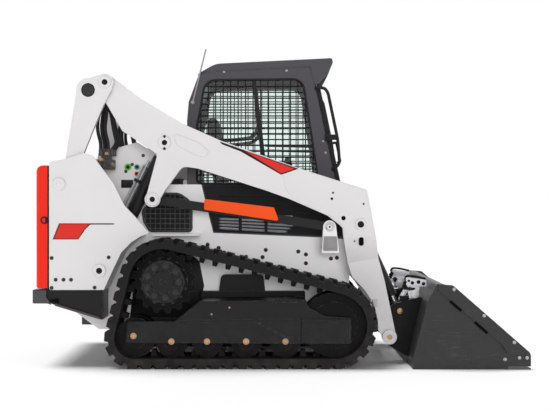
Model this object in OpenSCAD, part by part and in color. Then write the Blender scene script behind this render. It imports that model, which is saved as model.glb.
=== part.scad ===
// Compact track loader with a vertical-path lift arm, a closed cab and a bucket.
// Millimetres. X points to the bucket, Y to the machine's left, Z up, ground at zero.
// Left-hand pieces are drawn and mirrored to make the right-hand ones.

/* [Body] */
// Half width of the main frame over its side plates
frame_half = 450; // [420:1:480]
// Thickness of the frame's plates
plate_t = 16; // [10:1:22]
// Height of the belly above the ground
belly_z = 220; // [200:1:260]
// Height of the rear body under the hood
deck_z = 1220; // [1180:1:1240]
// Height of the plate under the cab
deck_in = 640; // [600:1:660]
// Rear end of the machine behind the centre
rear_x = 1648; // [1600:1:1700]
// Height of the rear bumper
bumper_h = 93; // [80:1:120]
// Radius of the tie-down bores in the rear bumper
tie_r = 24; // [15:1:30]

/* [Towers] */
// Thickness of a tower's inner plate
tower_in_t = 20; // [12:1:30]
// Thickness of a tower's outer panel
panel_t = 16; // [10:1:25]
// Radius of the pin bosses on a tower
boss_r = 45; // [36:1:52]

/* [Lift arms] */
// Thickness of a lift arm across the machine
arm_t = 65; // [50:1:80]
// Inward step of the arm's lower end
arm_jog = 75; // [60:1:90]
// Side gap between pieces that swing past each other
side_gap = 10; // [8:1:16]
// Thickness of the rear link
link_t = 55; // [40:1:70]
// Thickness of the control link
control_t = 55; // [40:1:65]
// Depth of the control link's bar
control_h = 60; // [48:1:70]
// Radius of the main pivot pins
pin_r = 28; // [22:1:32]
// Running clearance of a pin in its bore
pin_play = 0.08; // [0.03:0.01:0.1]
// Outer radius of the tube between the rear links
cross_r = 55; // [50:1:60]
// Radius of the beam between the arms
beam_r = 50; // [40:1:56]

/* [Cylinders] */
// Outer radius of a lift cylinder
lift_r = 45; // [38:1:50]
// Rod radius of a lift cylinder
lift_rod_r = 24; // [18:1:28]
// Outer radius of a tilt cylinder
tilt_r = 38; // [32:1:44]
// Rod radius of a tilt cylinder
tilt_rod_r = 18; // [14:1:22]
// Wall of the cylinder tubes
tube_wall = 10; // [7:1:12]

/* [Tracks] */
// Width of a track
track_w = 450; // [380:1:460]
// Gap between the frame and a track
track_gap = 25; // [18:1:40]
// Thickness of the track's belt
belt_t = 40; // [34:1:46]
// Height of the ground lugs
lug_h = 26; // [18:1:32]
// Number of lugs round a track
lug_count = 48; // [40:1:52]
// Height of the inner drive teeth
tooth_h = 42; // [30:1:50]
// Outside radius of the track round the sprocket
wrap_sprocket = 285; // [275:1:292]
// Outside radius of the track round the rear idler
wrap_rear = 200; // [190:1:206]
// Outside radius of the track round the front idler
wrap_front = 283; // [270:1:290]
// Radius of a track roller
roller_r = 100; // [85:1:104]
// Number of teeth on a sprocket
sprocket_teeth = 16; // [12:1:20]

/* [Cab] */
// Step in from the frame's side to the cab's side
cab_step = 20; // [10:1:45]
// Thickness of the cab's side walls
post_t = 50; // [36:1:60]
// Thickness of the window panes
pane_t = 8; // [5:1:12]
// Thickness of the front door
door_t = 30; // [24:1:36]
// Width of the front door's border
door_edge = 60; // [45:1:80]
// Spacing of the side screen's upright wires
mesh_x = 45; // [40:1:60]
// Spacing of the side screen's level wires
mesh_z = 60; // [50:1:80]
// Width of a screen wire
wire_w = 7; // [5:1:9]

/* [Rear door and hood] */
// Thickness of the rear door
gate_t = 80; // [60:1:85]
// Thickness of the hood
hood_t = 36; // [28:1:44]
// Radius of the door hinge pins
hinge_r = 10; // [8:1:12]
// Gap round the closed doors
door_gap = 5; // [5:1:8]
// Number of slats in the rear grille
slat_count = 9; // [6:1:12]

/* [Bucket] */
// Half width of the bucket's shell
bucket_half = 928; // [900:1:960]
// Thickness of the bucket's plates
bucket_wall = 12; // [8:1:16]
// Thickness of the bolted side cutters
cutter_t = 12; // [8:1:16]
// Depth of the cutting edge from front to back
edge_d = 150; // [110:1:180]
// Thickness of the cutting edge
edge_t = 20; // [14:1:24]
// Front end of the bucket ahead of the centre
front_x = 1648; // [1600:1:1700]

/* [Hidden] */
$fn = 48;

// Layers from the frame outwards
y_tin = frame_half + tower_in_t;
y_cyl = y_tin + side_gap + lift_r;
y_ctl0 = y_cyl + lift_r + side_gap;
y_ctl1 = y_ctl0 + control_t;
y_arm0 = y_ctl1 + side_gap + 5;
y_arm1 = y_arm0 + arm_t;
y_link0 = y_arm1 + side_gap;
y_link1 = y_link0 + link_t;
y_pan0 = y_link1 + side_gap;
y_pan1 = y_pan0 + panel_t;
y_low0 = y_arm0 - arm_jog;
y_low1 = y_low0 + arm_t;
y_trk0 = frame_half + track_gap;
y_trk1 = y_trk0 + track_w;
y_mid = (y_trk0 + y_trk1) / 2;
ear_t = 50;
y_ear1 = y_low0 - 5;
y_ear0 = y_ear1 - ear_t;
y_tilt = y_ear0 - 6 - tilt_r;

// Pivots seen from the side
link_base = [-1466, 1216];
arm_pin = [-1165, 1897];
leg_pin = [-854, 1116];
ctl_pin = [340, 930];
lift_base = [-1198, 641];
lift_eye = [-772, 1497];
tool_pin = [745, 185];
tilt_base = [546, 948];
tilt_eye = [823, 354];
cross_at = [-1277, 1845];
beam_at = [606, 540];

// Track circles
sprocket_at = [-771, 571];
rear_idler_at = [-953, wrap_rear];
front_idler_at = [360, wrap_front];
track_in = belt_t + lug_h;
roller_x = [-713, -478, -220, 39];
band = track_w * 0.4;

// Front of the cab: a straight raked line
cab_half = frame_half - cab_step;
rake = 12.12;
door_foot = [461.5, 905];
door_len = 1014;
door_top = door_foot + door_len * [-sin(rake), cos(rake)];
// Places on the cab counted from the head of the door: over it, and over it at a fixed length
function lead(x, z, r = 0) = [door_top.x + x, door_top.y + z, r];
function over(x, z, r = 0) = [x, door_top.y + z, r];
axle_up = track_in + roller_r + 0.4;

function unit(v) = v / norm(v);
function swing(a, b) = let (d = b - a) d > 180 ? d - 360 : (d < -180 ? d + 360 : d);
function bend(a, b, c, r, n) = r <= 0 ? [b] :
    let (u = unit(a - b), w = unit(c - b), half = acos(u * w) / 2,
        p = b + u * (r / tan(half)), q = b + w * (r / tan(half)),
        o = b + unit(u + w) * (r / sin(half)),
        s = atan2(p.y - o.y, p.x - o.x), e = atan2(q.y - o.y, q.x - o.x))
    [for (i = [0:n]) o + r * [cos(s + swing(s, e) * i / n), sin(s + swing(s, e) * i / n)]];
// Outline with rounded corners from points that hold x, z and a corner radius
function outline(p, n = 5) = let (m = len(p)) [for (i = [0:m - 1])
    let (a = p[(i + m - 1) % m], b = p[i], c = p[(i + 1) % m])
    each bend([a.x, a.y], [b.x, b.y], [c.x, c.y], len(b) > 2 ? b[2] : 0, n)];
// Band of an arc between two angles
function arc(c, r, a, b, n) = [for (i = [0:n]) c + r * [cos(a + (b - a) * i / n), sin(a + (b - a) * i / n)]];

// Strip of an even width along a line of points
function edge_n(p, i) = let (d = unit(p[i + 1] - p[i])) [-d.y, d.x];
function mid_n(p, i) = let (m = len(p), a = edge_n(p, max(i - 1, 0)), b = edge_n(p, min(i, m - 2)), c = unit(a + b))
    c / (c * a);
function ribbon(p, w) = let (m = len(p)) concat([for (i = [0:m - 1]) p[i] + mid_n(p, i) * w / 2],
    [for (i = [m - 1:-1:0]) p[i] - mid_n(p, i) * w / 2]);

// Side outline carried from one distance across the machine to another
module slab(p, y0, y1) {
    translate([0, y1, 0]) rotate([90, 0, 0]) linear_extrude(y1 - y0) polygon(p);
}
module bar(c, r, y0, y1) {
    translate([c.x, y1, c.y]) rotate([90, 0, 0]) cylinder(r = r, h = y1 - y0);
}
module box(a, b) {
    translate(a) cube(b - a);
}
module right() {
    mirror([0, 1, 0]) children();
}
module both() {
    children();
    right() children();
}
module raked() {
    translate([door_foot.x, 0, door_foot.y]) rotate([0, -rake, 0]) children();
}

// Main frame: tub, engine bay walls, firewall and control link brackets
module main_frame() {
    side = outline([[-1500, 520], [-1400, 330], [-1250, belly_z], [380, belly_z], [480, 360],
        [488, 840], [330, 852], [-458, 885], [-540, deck_z], [-1500, deck_z]]);
    front = [[364, belly_z + plate_t], [380, belly_z], [480, 360], [488, 840], [472, 840], [464, 366]];
    color("white") {
        both() slab(side, frame_half - plate_t, frame_half);
        slab([[-1250, belly_z], [380, belly_z], [372, belly_z + plate_t], [-1250, belly_z + plate_t]],
            -frame_half + plate_t, frame_half - plate_t);
        slab(front, -frame_half + plate_t, frame_half - plate_t);
        slab([[-660, belly_z + plate_t], [-644, belly_z + plate_t], [-644, deck_z], [-660, deck_z]],
            -frame_half + plate_t, frame_half - plate_t);
        slab([[-644, deck_in], [470, deck_in], [470, deck_in + 16], [-644, deck_in + 16]], -frame_half + plate_t, frame_half - plate_t);
        both() bracket();
        both() hood_ears();
        both() fender();
    }
}
module fender() {
    slab([[-860, 868], [-545, 868], [-545, 880], [-860, 880]], frame_half, y_arm0 - 40);
}
module bracket() {
    ear = [[288, 752], [405, 752], [384, 930], [296, 930]];
    for (y = [y_ctl0 - side_gap / 2 - plate_t, y_ctl1 + side_gap / 2]) {
        slab(ear, y, y + plate_t);
        bar(ctl_pin, 44, y, y + plate_t);
    }
    slab([[288, 752], [405, 752], [402, 782], [288, 782]], frame_half, y_ctl1 + side_gap / 2 + plate_t);
    slab([[288, 752], [405, 752], [390, 845], [288, 845]], frame_half, frame_half + plate_t);
    bar(ctl_pin, pin_r, y_ctl0 - side_gap / 2 - plate_t, y_ctl1 + side_gap / 2 + plate_t + 8);
}
hood_pin = [-664, deck_z + door_gap + hood_t / 2];
module hood_ears() {
    for (y = [125, 262]) slab(outline([[-678, deck_z - 4], [-650, deck_z - 4], [-650, hood_pin.y + 14, 12],
        [-678, hood_pin.y + 14, 12]]), y, y + 13);
    bar(hood_pin, hinge_r, 125, 275);
}

// Tower: inner plate, outer panel, arch over the sprocket and pin bosses
panel = outline([[-1532, 1364, 20], [-1532, 513, 15], [-1169, 513], [-1103, 655], [-1052, 762],
    [-985, 830], [-925, 868], [-865, 891, 6], [-965, 1006], [-1030, 1073, 60], [-1107, 1227, 200],
    [-1174, 1315, 120], [-1240, 1404, 60], [-1300, 1425, 10], [-1427, 1384]]);
module tower() {
    color("white") {
        slab(panel, y_pan0, y_pan1);
        slab(outline([[-1500, 1364, 40], [-1500, 530], [-1183, 530], [-1112, 670], [-1060, 775],
            [-1002, 834], [-972, 870], [-968, 1000, 60], [-978, 1150, 30], [-870, 1190, 30], [-850, 1430, 30],
            [-983, 1512, 30], [-1121, 1472, 40], [-1240, 1400, 60]]),
            frame_half, y_tin);
        slab([[-1530, 513], [-1514, 513], [-1514, 1000], [-1530, 1000]], y_tin - 40, y_pan0);
        slab([[-1514, 513], [-1169, 513], [-1177, 529], [-1514, 529]], y_tin - 20, y_pan0);
        slab(concat([[-1169, 513], [-1103, 655], [-1052, 762], [-985, 830], [-925, 868], [-925, 882]],
            [[-993, 842], [-1062, 770], [-1115, 662], [-1185, 518]]), y_tin - 20, y_pan0);
        bar(link_base, boss_r + 10, y_link1, y_pan0);
        bar(link_base, boss_r, y_pan1, y_pan1 + 10);
        bar(lift_base, boss_r, y_pan1, y_pan1 + 10);
        bar(lift_base, pin_r, y_tin, y_pan0);
    }
}
module tower_left() {
    tower();
    color("white") gate_ears();
}
module tower_right() {
    right() tower();
}
gate_pin = [-1545 - gate_t / 2, y_link1 - 5];
module gate_ears() {
    for (z = [722, 1082]) {
        translate([gate_pin.x, gate_pin.y, z]) cylinder(r = 18, h = 48);
        box([gate_pin.x, gate_pin.y + 8, z], [-1520, y_pan1, z + 48]);
    }
    translate([gate_pin.x, gate_pin.y, 640]) cylinder(r = hinge_r, h = 130);
    translate([gate_pin.x, gate_pin.y, 1082]) cylinder(r = hinge_r, h = 130);
}

// Rear link: fixed upright that carries the lift arm's top pin
module rear_link() {
    shape = outline([[-1510, 1200, 30], [-1440, 1166, 30], [-1405, 1210], [-1305, 1426], [-1243, 1581, 80],
        [-1166, 1765, 40], [-1118, 1850, 20], [-1118, 1935, 40], [-1170, 1954, 30], [-1310, 1912, 60],
        [-1351, 1850, 40], [-1427, 1387]]);
    color("white") {
        difference() {
            union() {
                slab(shape, y_link0, y_link1);
                bar(arm_pin, 57, y_link0, y_link1);
                bar(cross_at, 78, y_link0, y_link1);
            }
            bar(cross_at, cross_r - 9, y_link0 - 1, y_link1 + 1);
        }
        bar(arm_pin, pin_r, y_arm0 - 14, y_link0);
        bar(arm_pin, 42, y_link1, y_link1 + 8);
    }
}
module rear_link_left() {
    rear_link();
}
module rear_link_right() {
    right() rear_link();
}
module link_cross_tube() {
    color("white") difference() {
        bar(cross_at, cross_r, -y_link0, y_link0);
        bar(cross_at, cross_r - 9, -y_link0 - 1, y_link0 + 1);
    }
}

// Rear bumper with two upright tie-down bores
module rear_bumper() {
    top = 513;
    shape = outline([[-rear_x, top - bumper_h, 12], [-rear_x + 120, top - bumper_h], [-1183, top - bumper_h - 108],
        [-1183, top], [-rear_x, top, 10]]);
    color("black") difference() {
        slab(shape, -y_pan0 + 20, y_pan0 - 20);
        both() translate([-rear_x + 70, 420, 0]) cylinder(r = tie_r, h = 1000);
        box([-1506, -frame_half - 0.5, 0], [-1100, frame_half + 0.5, top + 1]);
    }
}
// Engine and cooling pack as one plain block
module engine_block() {
    color("dimgray") box([-1390, -frame_half + 160, belly_z + plate_t], [-720, frame_half - 160, 1010]);
}
// Slatted vents in the body side
module side_vents() {
    shape = outline([[-895, 889, 40], [-600, 889, 30], [-600, 1100, 90], [-690, 1164, 90], [-830, 1164, 90],
        [-955, 1040, 60], [-940, 960, 40]]);
    color("black") both() difference() {
        slab(shape, frame_half, frame_half + 18);
        for (i = [0:6]) slab([[-870, 920 + i * 33], [-640, 920 + i * 33], [-640, 936 + i * 33],
            [-870, 936 + i * 33]], frame_half + 8, frame_half + 20);
    }
}

// Undercarriage
module track_mounts() {
    color("black") both() {
        slab(outline([[-535, 400], [177, 400], [177, 487, 10], [-535, 487, 10]]), frame_half, y_mid - 175);
        slab(outline([[-415, 487], [-98, 487], [-110, 600, 30], [-400, 600, 30]]), frame_half, frame_half + 60);
    }
}
skirt = outline([[-1005, 309, 20], [-1012, 170, 20], [139, 163, 5], [473, 163, 15], [473, 333, 15], [300, 345, 20],
    [196, 400, 20], [165, 454, 15], [-523, 443, 20], [-690, 309, 20]]);
module track_frame() {
    in0 = y_mid - 175;
    out0 = y_mid + 150;
    color("black") {
        slab(skirt, in0, in0 + 25);
        slab(skirt, out0, out0 + 30);
        slab(outline([[-640, 285], [110, 285], [110, 452], [-523, 443]]), in0 + 25, out0);
        slab(outline([[150, 175, 12], [462, 175, 12], [462, 322, 12], [150, 322, 12]]), out0 + 30, out0 + 48);
    }
}
module track_frame_left() {
    track_frame();
}
module track_frame_right() {
    right() track_frame();
}
// Belt path: circles in turn, rear idler, front idler, sprocket
hubs = [[rear_idler_at, wrap_rear - lug_h], [front_idler_at, wrap_front - lug_h], [sprocket_at, wrap_sprocket - lug_h]];
function lean(i, j) = let (d = hubs[j][0] - hubs[i][0])
    atan2(d.y, d.x) - acos((hubs[i][1] - hubs[j][1]) / norm(d));
function up(a, b) = a < b ? a : up(a - 360, b);
function down_to(a, b) = a >= b ? a : down_to(a + 360, b);
run_a = [lean(0, 1), lean(1, 2), lean(2, 0)];
function run_len(i) = let (j = (i + 1) % 3, d = norm(hubs[j][0] - hubs[i][0]), e = hubs[i][1] - hubs[j][1])
    sqrt(d * d - e * e);
function turn(i) = let (j = (i + 1) % 3) down_to(run_a[j], run_a[i]) - run_a[i];
function arc_len(i) = let (j = (i + 1) % 3) turn(i) * PI / 180 * hubs[j][1];
legs = [run_len(0), arc_len(0), run_len(1), arc_len(1), run_len(2), arc_len(2)];
loop_len = legs[0] + legs[1] + legs[2] + legs[3] + legs[4] + legs[5];
// Point on the belt's outer face at a distance round the loop, moved out by a height
function on_leg(k, s, h) = let (i = floor(k / 2), j = (i + 1) % 3, n = [cos(run_a[i]), sin(run_a[i])])
    k % 2 == 0 ? hubs[i][0] + n * (hubs[i][1] + h) + [-n.y, n.x] * s :
    let (a = run_a[i] + s / hubs[j][1] * 180 / PI) hubs[j][0] + (hubs[j][1] + h) * [cos(a), sin(a)];
function walk(s, h, k = 0) = s <= legs[k] || k == 5 ? on_leg(k, s, h) : walk(s - legs[k], h, k + 1);
function around(s) = s >= loop_len ? s - loop_len : s;
lug_pitch = loop_len / lug_count;
function lugs(shift) = [for (i = [0:lug_count - 1]) let (s = (i + shift) * lug_pitch)
    each [walk(around(s), 0), walk(around(s + 6), lug_h), walk(around(s + lug_pitch * 0.64), lug_h),
        walk(around(s + lug_pitch * 0.72), 0)]];
function teeth() = [for (i = [0:lug_count - 1]) let (s = i * lug_pitch)
    each [walk(around(s), -belt_t), walk(around(s + 8), -belt_t - tooth_h),
        walk(around(s + lug_pitch * 0.4), -belt_t - tooth_h), walk(around(s + lug_pitch * 0.5), -belt_t)]];
function plain(h) = [for (k = [1, 3, 5]) let (i = (k - 1) / 2, n = 12) for (m = [0:n]) on_leg(k, legs[k] * m / n, h)];
module loop_band(outer, inner, y0, y1) {
    translate([0, y1, 0]) rotate([90, 0, 0]) linear_extrude(y1 - y0) difference() {
        polygon(outer);
        polygon(inner);
    }
}
module track() {
    color("black") {
        loop_band(lugs(0), plain(-belt_t), y_trk0, y_trk0 + band);
        loop_band(plain(0), teeth(), y_trk0 + band, y_trk1 - band);
        loop_band(lugs(0.5), plain(-belt_t), y_trk1 - band, y_trk1);
    }
}
module track_left() {
    track();
}
module track_right() {
    right() track();
}
sprocket_r = wrap_sprocket - track_in - 2;
module sprockets() {
    root = sprocket_r - 28;
    rim = [for (i = [0:sprocket_teeth - 1]) let (a = i * 360 / sprocket_teeth, w = 360 / sprocket_teeth)
        each [sprocket_at + root * [cos(a), sin(a)], sprocket_at + sprocket_r * [cos(a + w * 0.2), sin(a + w * 0.2)],
            sprocket_at + sprocket_r * [cos(a + w * 0.5), sin(a + w * 0.5)],
            sprocket_at + root * [cos(a + w * 0.7), sin(a + w * 0.7)]]];
    color("dimgray") both() {
        bar(sprocket_at, 105, frame_half, y_trk1 - band + 4);
        slab(rim, y_trk1 - band + 2, y_trk1 - band + 40);
        bar(sprocket_at, 160, y_trk1 - band + 40, y_trk1 - band + 60);
        bar(sprocket_at, 144, y_trk1 - band + 60, y_trk1 - 60);
        bar(sprocket_at, 70, y_trk1 - 60, y_trk1 - 48);
    }
}
// Twin-rimmed wheel that straddles the drive teeth
module wheel(c, r, hub) {
    bar(c, hub, y_mid - 150, y_mid + 150);
    bar(c, r, y_mid - 140, y_mid - 50);
    bar(c, r, y_mid + 50, y_mid + 140);
}
module idlers() {
    color("black") both() {
        wheel(rear_idler_at, wrap_rear - track_in - 2.5, wrap_rear - track_in - tooth_h - 20);
        wheel(front_idler_at, wrap_front - track_in - 2.5, wrap_front - track_in - tooth_h - 20);
    }
}
module rollers() {
    color("dimgray") both() for (x = roller_x) wheel([x, axle_up], roller_r, roller_r - tooth_h - 10);
}

// Cab
cab_side = outline([[-640, deck_in + 16], [-640, 1664], [-629, 1792], over(-562, 78.6, 40), over(-500, 103.6),
    lead(-29.6, 137.6), lead(-9.6, 43.6), [461, 905], [456, 860], [456, deck_in + 16]]);
window = outline([over(-515, 48.6, 90), lead(-85.6, 55.6, 80), [262, 1314, 20], [262, 1225, 30], [-572, 1225, 30],
    [-572, 1633, 60], [-550, 1733, 60]]);
// A flat point without its corner radius
function flat(p) = [p.x, p.y];
module cab_frame() {
    color("dimgray") {
        both() difference() {
            slab(cab_side, cab_half - post_t, cab_half);
            slab(window, cab_half - post_t - 1, cab_half + 1);
        }
        difference() {
            slab([[-640, deck_in + 16], [-640, 1664], [-629, 1792], flat(over(-562, 78.6)), flat(over(-525, 93.6)),
                flat(over(-514, 53.6)), [-590, 1780], [-600, 1664], [-600, deck_in + 16]],
                -cab_half + post_t, cab_half - post_t);
            box([-700, -rear_pane, 1350], [-500, rear_pane, 1840]);
        }
        slab([flat(lead(-70.6, 53.6)), flat(lead(-13.6, 59.6)), flat(lead(-29.6, 135.6)), flat(lead(-88.6, 132.6))],
            -cab_half + post_t, cab_half - post_t);
        slab([[400, 886], [458, 886], [460, 905], [450, 955], [400, 955]], -cab_half + post_t, cab_half - post_t);
        right() door_post_pad();
    }
    color("dimgray") door_pins();
}
module door_post_pad() {
    raked() box([-4, cab_half - 48, 400], [3, cab_half - 20, 470]);
}
pivot_y = cab_half - 25;
rear_pane = cab_half - 130;
module door_pins() {
    raked() for (z = [142, 802]) {
        translate([4 + door_t / 2, pivot_y, z]) cylinder(r = 13, h = 28);
        box([-4, pivot_y - 8, z], [4 + door_t / 2, pivot_y + 8, z + 28]);
        translate([4 + door_t / 2, pivot_y, z - 82]) cylinder(r = 7, h = 110);
    }
}
module cab_roof() {
    shape = outline([over(-565, 81.6), over(-500, 103.6), lead(-29.6, 137.6), lead(-9.1, 43.6), lead(3.4, 8.6, 5),
        lead(80.4, 85.6, 40), lead(123.4, 169.6, 20), lead(116.4, 200.6, 10), over(-442, 161.6, 160),
        over(-560, 95.6, 36)]);
    color("dimgray") difference() {
        slab(shape, -cab_half, cab_half);
        slab([flat(lead(-23.6, 3.6)), flat(lead(81.4, 3.6)), flat(lead(151.4, 123.6)), flat(lead(91.4, 169.6)),
            flat(lead(-29.6, 139.6))], -cab_half + 30, cab_half - 30);
    }
}
module cab_rear_window() {
    color("gray", 0.4) slab([[-634, 1350], [-626, 1350], [-626, 1664], [-617, 1787], [-598, 1840], [-606, 1840],
        [-625, 1790], [-634, 1664]], -rear_pane, rear_pane);
}
module side_windows() {
    color("gray", 0.4) both() slab(window, cab_half - 30, cab_half - 30 + pane_t);
}
module side_screens() {
    inner = outline([over(-495, 28.6, 72), lead(-102.6, 35.6, 62), [242, 1314, 15], [242, 1245, 20], [-552, 1245, 20],
        [-552, 1633, 50], [-530, 1728, 50]]);
    color("black") both() translate([0, cab_half - 8, 0]) rotate([90, 0, 0]) linear_extrude(6) {
        difference() {
            polygon(window);
            polygon(inner);
        }
        intersection() {
            polygon(window);
            union() {
                for (x = [-552:mesh_x:240]) translate([x, 1225]) square([wire_w, door_top.y - 1156.4]);
                for (z = [1255:mesh_z:door_top.y + 33.6]) translate([-580, z]) square([860, wire_w]);
            }
        }
    }
}
seat_half = cab_half - 190;
module seat_base() {
    color("black") slab(outline([[-420, deck_in + 16], [-20, deck_in + 16], [0, 900, 40], [-10, 960, 20], [-430, 960, 20]]),
        -seat_half + 10, seat_half - 10);
}
module seat_cushion() {
    color("dimgray") slab(outline([[-440, 960], [-10, 960], [40, 1020, 25], [30, 1080, 30], [-440, 1060, 30]]),
        -seat_half, seat_half);
}
module seat_back() {
    color("dimgray") slab(outline([[-425, 1061], [-340, 1064.6], [-400, 1480, 60], [-420, 1700, 40], [-500, 1710, 40],
        [-520, 1480, 60]]), -seat_half + 20, seat_half - 20);
}
lever_y = cab_half - 130;
module control_consoles() {
    color("black") both() {
        slab(outline([[-330, deck_in + 16], [60, deck_in + 16], [90, 1120, 20], [140, 1180, 20], [120, 1230, 30],
            [-330, 1200, 40]]), lever_y - 50, lever_y + 50);
        translate([60, lever_y, 1190]) cylinder(r = 14, h = 120);
        translate([60, lever_y, 1300]) cylinder(r1 = 22, r2 = 28, h = 90);
    }
}
module grab_handles() {
    path = [flat(lead(7.4, -8.4)), flat(lead(61.4, -8.4)), flat(lead(85.4, -36.4)), [404, 1530], [417, 1365], [372, 1322]];
    color("black") both() {
        slab(ribbon(path, 22), cab_half + 16, cab_half + 38);
        bar(lead(13.4, -8.4), 15, cab_half, cab_half + 16);
        bar([378, 1328], 13, cab_half, cab_half + 16);
    }
}
module work_lamps() {
    color("white") both() raked() translate([0.4, lever_y, door_len + 86]) rotate([0, 90, 0])
        cylinder(r = 36, h = 60);
}
module antenna() {
    color("black") right() {
        bar([-600, 1790], 13, cab_half, cab_half + 16);
        translate([-600, cab_half + 9, 1790]) rotate([0, 14, 0]) cylinder(r = 5, h = 378);
    }
}

// Rear door on a standing hinge
gate_back = -1545;
module tailgate_frame() {
    color("red") {
        difference() {
            gate_block();
            box([-1700, -520, 590], [-1500, 520, 1270]);
        }
        for (z = [640, 1134]) difference() {
            union() {
                translate([gate_pin.x, gate_pin.y, z]) cylinder(r = 18, h = 78);
                box([gate_pin.x - 18, gate_pin.y - 30, z], [gate_pin.x + 18, gate_pin.y, z + 78]);
            }
            translate([gate_pin.x, gate_pin.y, z - 1]) cylinder(r = hinge_r + pin_play, h = 80);
        }
    }
}
module gate_block() {
    y1 = gate_pin.y - 22;
    y0 = -y_pan1 + 10;
    x0 = gate_back - gate_t;
    plan = outline([[gate_back, y0], [gate_back, y1], [x0, y1, 40], [x0, y0, 40]]);
    intersection() {
        translate([0, 0, 524]) linear_extrude(818) polygon(plan);
        slab(outline([[gate_back + 1, 524], [gate_back + 1, 1342], [x0, 1342, 52], [x0, 524, 18]]), y0 - 1, y1 + 1);
    }
}
module tailgate_grille() {
    pitch = 680 / slat_count;
    color("black") {
        box([gate_back - 30, -520, 590], [gate_back - 20, 520, 1270]);
        for (i = [0:slat_count - 1]) box([gate_back - gate_t + 10, -520, 600 + i * pitch], [gate_back - 30, 520, 630 + i * pitch]);
    }
}
module tail_lamps() {
    color("red") both() box([gate_back - gate_t - 6, 590, 1130], [gate_back - gate_t, 680, 1240]);
}
// Hood over the engine, hinged at its front edge
module engine_hood() {
    z0 = deck_z + door_gap;
    color("black") difference() {
        union() {
            difference() {
                slab(outline([[-1505, z0], [-680, z0], [-680, z0 + hood_t, 8], [-1480, z0 + hood_t, 20]]),
                    -frame_half + door_gap + 1, frame_half - door_gap - 1);
                for (i = [0:11]) box([-1420 + i * 56, -340, z0 - 1], [-1390 + i * 56, 340, z0 + hood_t + 1]);
            }
            both() bar(hood_pin, 17, 142, 258);
            both() slab([[-690, z0], [hood_pin.x, z0 + 1], [hood_pin.x, z0 + hood_t - 1], [-690, z0 + hood_t]], 142, 258);
        }
        both() bar(hood_pin, hinge_r + pin_play, 141, 259);
    }
}

// Front door of the cab on a raked hinge
module door_panel() {
    box([4, -cab_half + 15, 0], [4 + door_t, pivot_y - 20, door_len]);
}
module cab_door_frame() {
    color("black") raked() {
        difference() {
            door_panel();
            box([0, -cab_half + 15 + door_edge, door_edge], [60, pivot_y - 20 - door_edge, door_len - door_edge]);
        }
        for (z = [62, 722]) difference() {
            union() {
                translate([4 + door_t / 2, pivot_y, z]) cylinder(r = 13, h = 78);
                box([8, pivot_y - 30, z], [door_t, pivot_y, z + 78]);
            }
            translate([4 + door_t / 2, pivot_y, z - 1]) cylinder(r = 7 + pin_play, h = 80);
        }
    }
}
module cab_door_glass() {
    color("gray", 0.4) raked() box([4 + door_t / 2, -cab_half + 15 + door_edge, door_edge],
        [4 + door_t / 2 + pane_t, pivot_y - 20 - door_edge, door_len - door_edge]);
}

// Lift arm: upper beam with the rear leg, bent neck and lower end
module lift_arm() {
    upper = outline([[-1132, 1944], [-934, 1793], [-660, 1628, 120], [-393, 1510], [125, 1327], [380, 1246],
        [586, 1181, 20], [600, 1120], [650, 852], [429, 871], [424, 925, 15], [400, 948, 20], [323, 1007, 60], [66, 1119],
        [-86, 1174], [-553, 1324], [-650, 1338, 50], [-763, 1186], [-806, 1112], [-854, 1075], [-902, 1112],
        [-820, 1418, 25], [-955, 1509, 60], [-1056, 1576], [-1170, 1771, 60], [-1221, 1886]]);
    lower = outline([[462, 690], [669, 724], [713, 565], [781, 240], [792, 180], [745, 140], [704, 175], [670, 232],
        [666, 300], [642, 405], [574, 507], [532, 548], [492, 592]]);
    color("white") {
        difference() {
            union() {
                slab(upper, y_arm0, y_arm1);
                bar(arm_pin, 57, y_arm0, y_arm1);
                bar(leg_pin, 52, y_arm0, y_arm1);
                bar(lift_eye, 44, y_arm1, y_arm1 + 6);
                bar(leg_pin, 44, y_arm1, y_arm1 + 6);
                bar(tilt_base, 42, y_arm1, y_arm1 + 6);
            }
            bar(arm_pin, pin_r + pin_play, y_arm0 - 1, y_arm1 + 1);
        }
        hull() {
            slab([[650, 856], [429, 875], [429, 869], [651, 850]], y_arm0, y_arm1);
            slab([[462, 684], [670, 718], [668, 726], [462, 692]], y_low0, y_low1);
        }
        difference() {
            union() {
                slab(lower, y_low0, y_low1);
                bar(tool_pin, 48, y_low0, y_low1);
            }
            bar(tool_pin, pin_r + pin_play, y_low0 - 1, y_low1 + 1);
        }
        bar(tilt_base, 25, y_tilt - tilt_r - 4, y_arm0);
        bar(tilt_base, 40, y_tilt + tilt_r + 4, y_arm0);
    }
}
module lift_arm_left() {
    lift_arm();
}
module lift_arm_right() {
    right() lift_arm();
}
module arm_cross_beam() {
    color("white") bar(beam_at, beam_r, -y_low0, y_low0);
}
// Control links from the frame brackets to the arms' legs
module control_links() {
    d = unit(leg_pin - ctl_pin);
    n = [-d.y, d.x] * control_h / 2;
    color("black") both() difference() {
        union() {
            slab([ctl_pin + n, ctl_pin - n, leg_pin - n, leg_pin + n], y_ctl0, y_ctl1);
            bar(ctl_pin, 46, y_ctl0, y_ctl1);
            bar(leg_pin, 46, y_ctl0, y_ctl1);
        }
        bar(ctl_pin, pin_r + pin_play, y_ctl0 - 1, y_ctl1 + 1);
        bar(leg_pin, pin_r, y_ctl0 - 1, y_ctl1 + 1);
    }
}
// Arm support stowed on the right-hand control link
module arm_support() {
    color("orange") right() slab(outline([[-506, 1119, 12], [-37, 1062, 12], [-3, 969, 12], [-510, 1047, 12]]), y_ctl1, y_ctl1 + 40);
}

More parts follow.
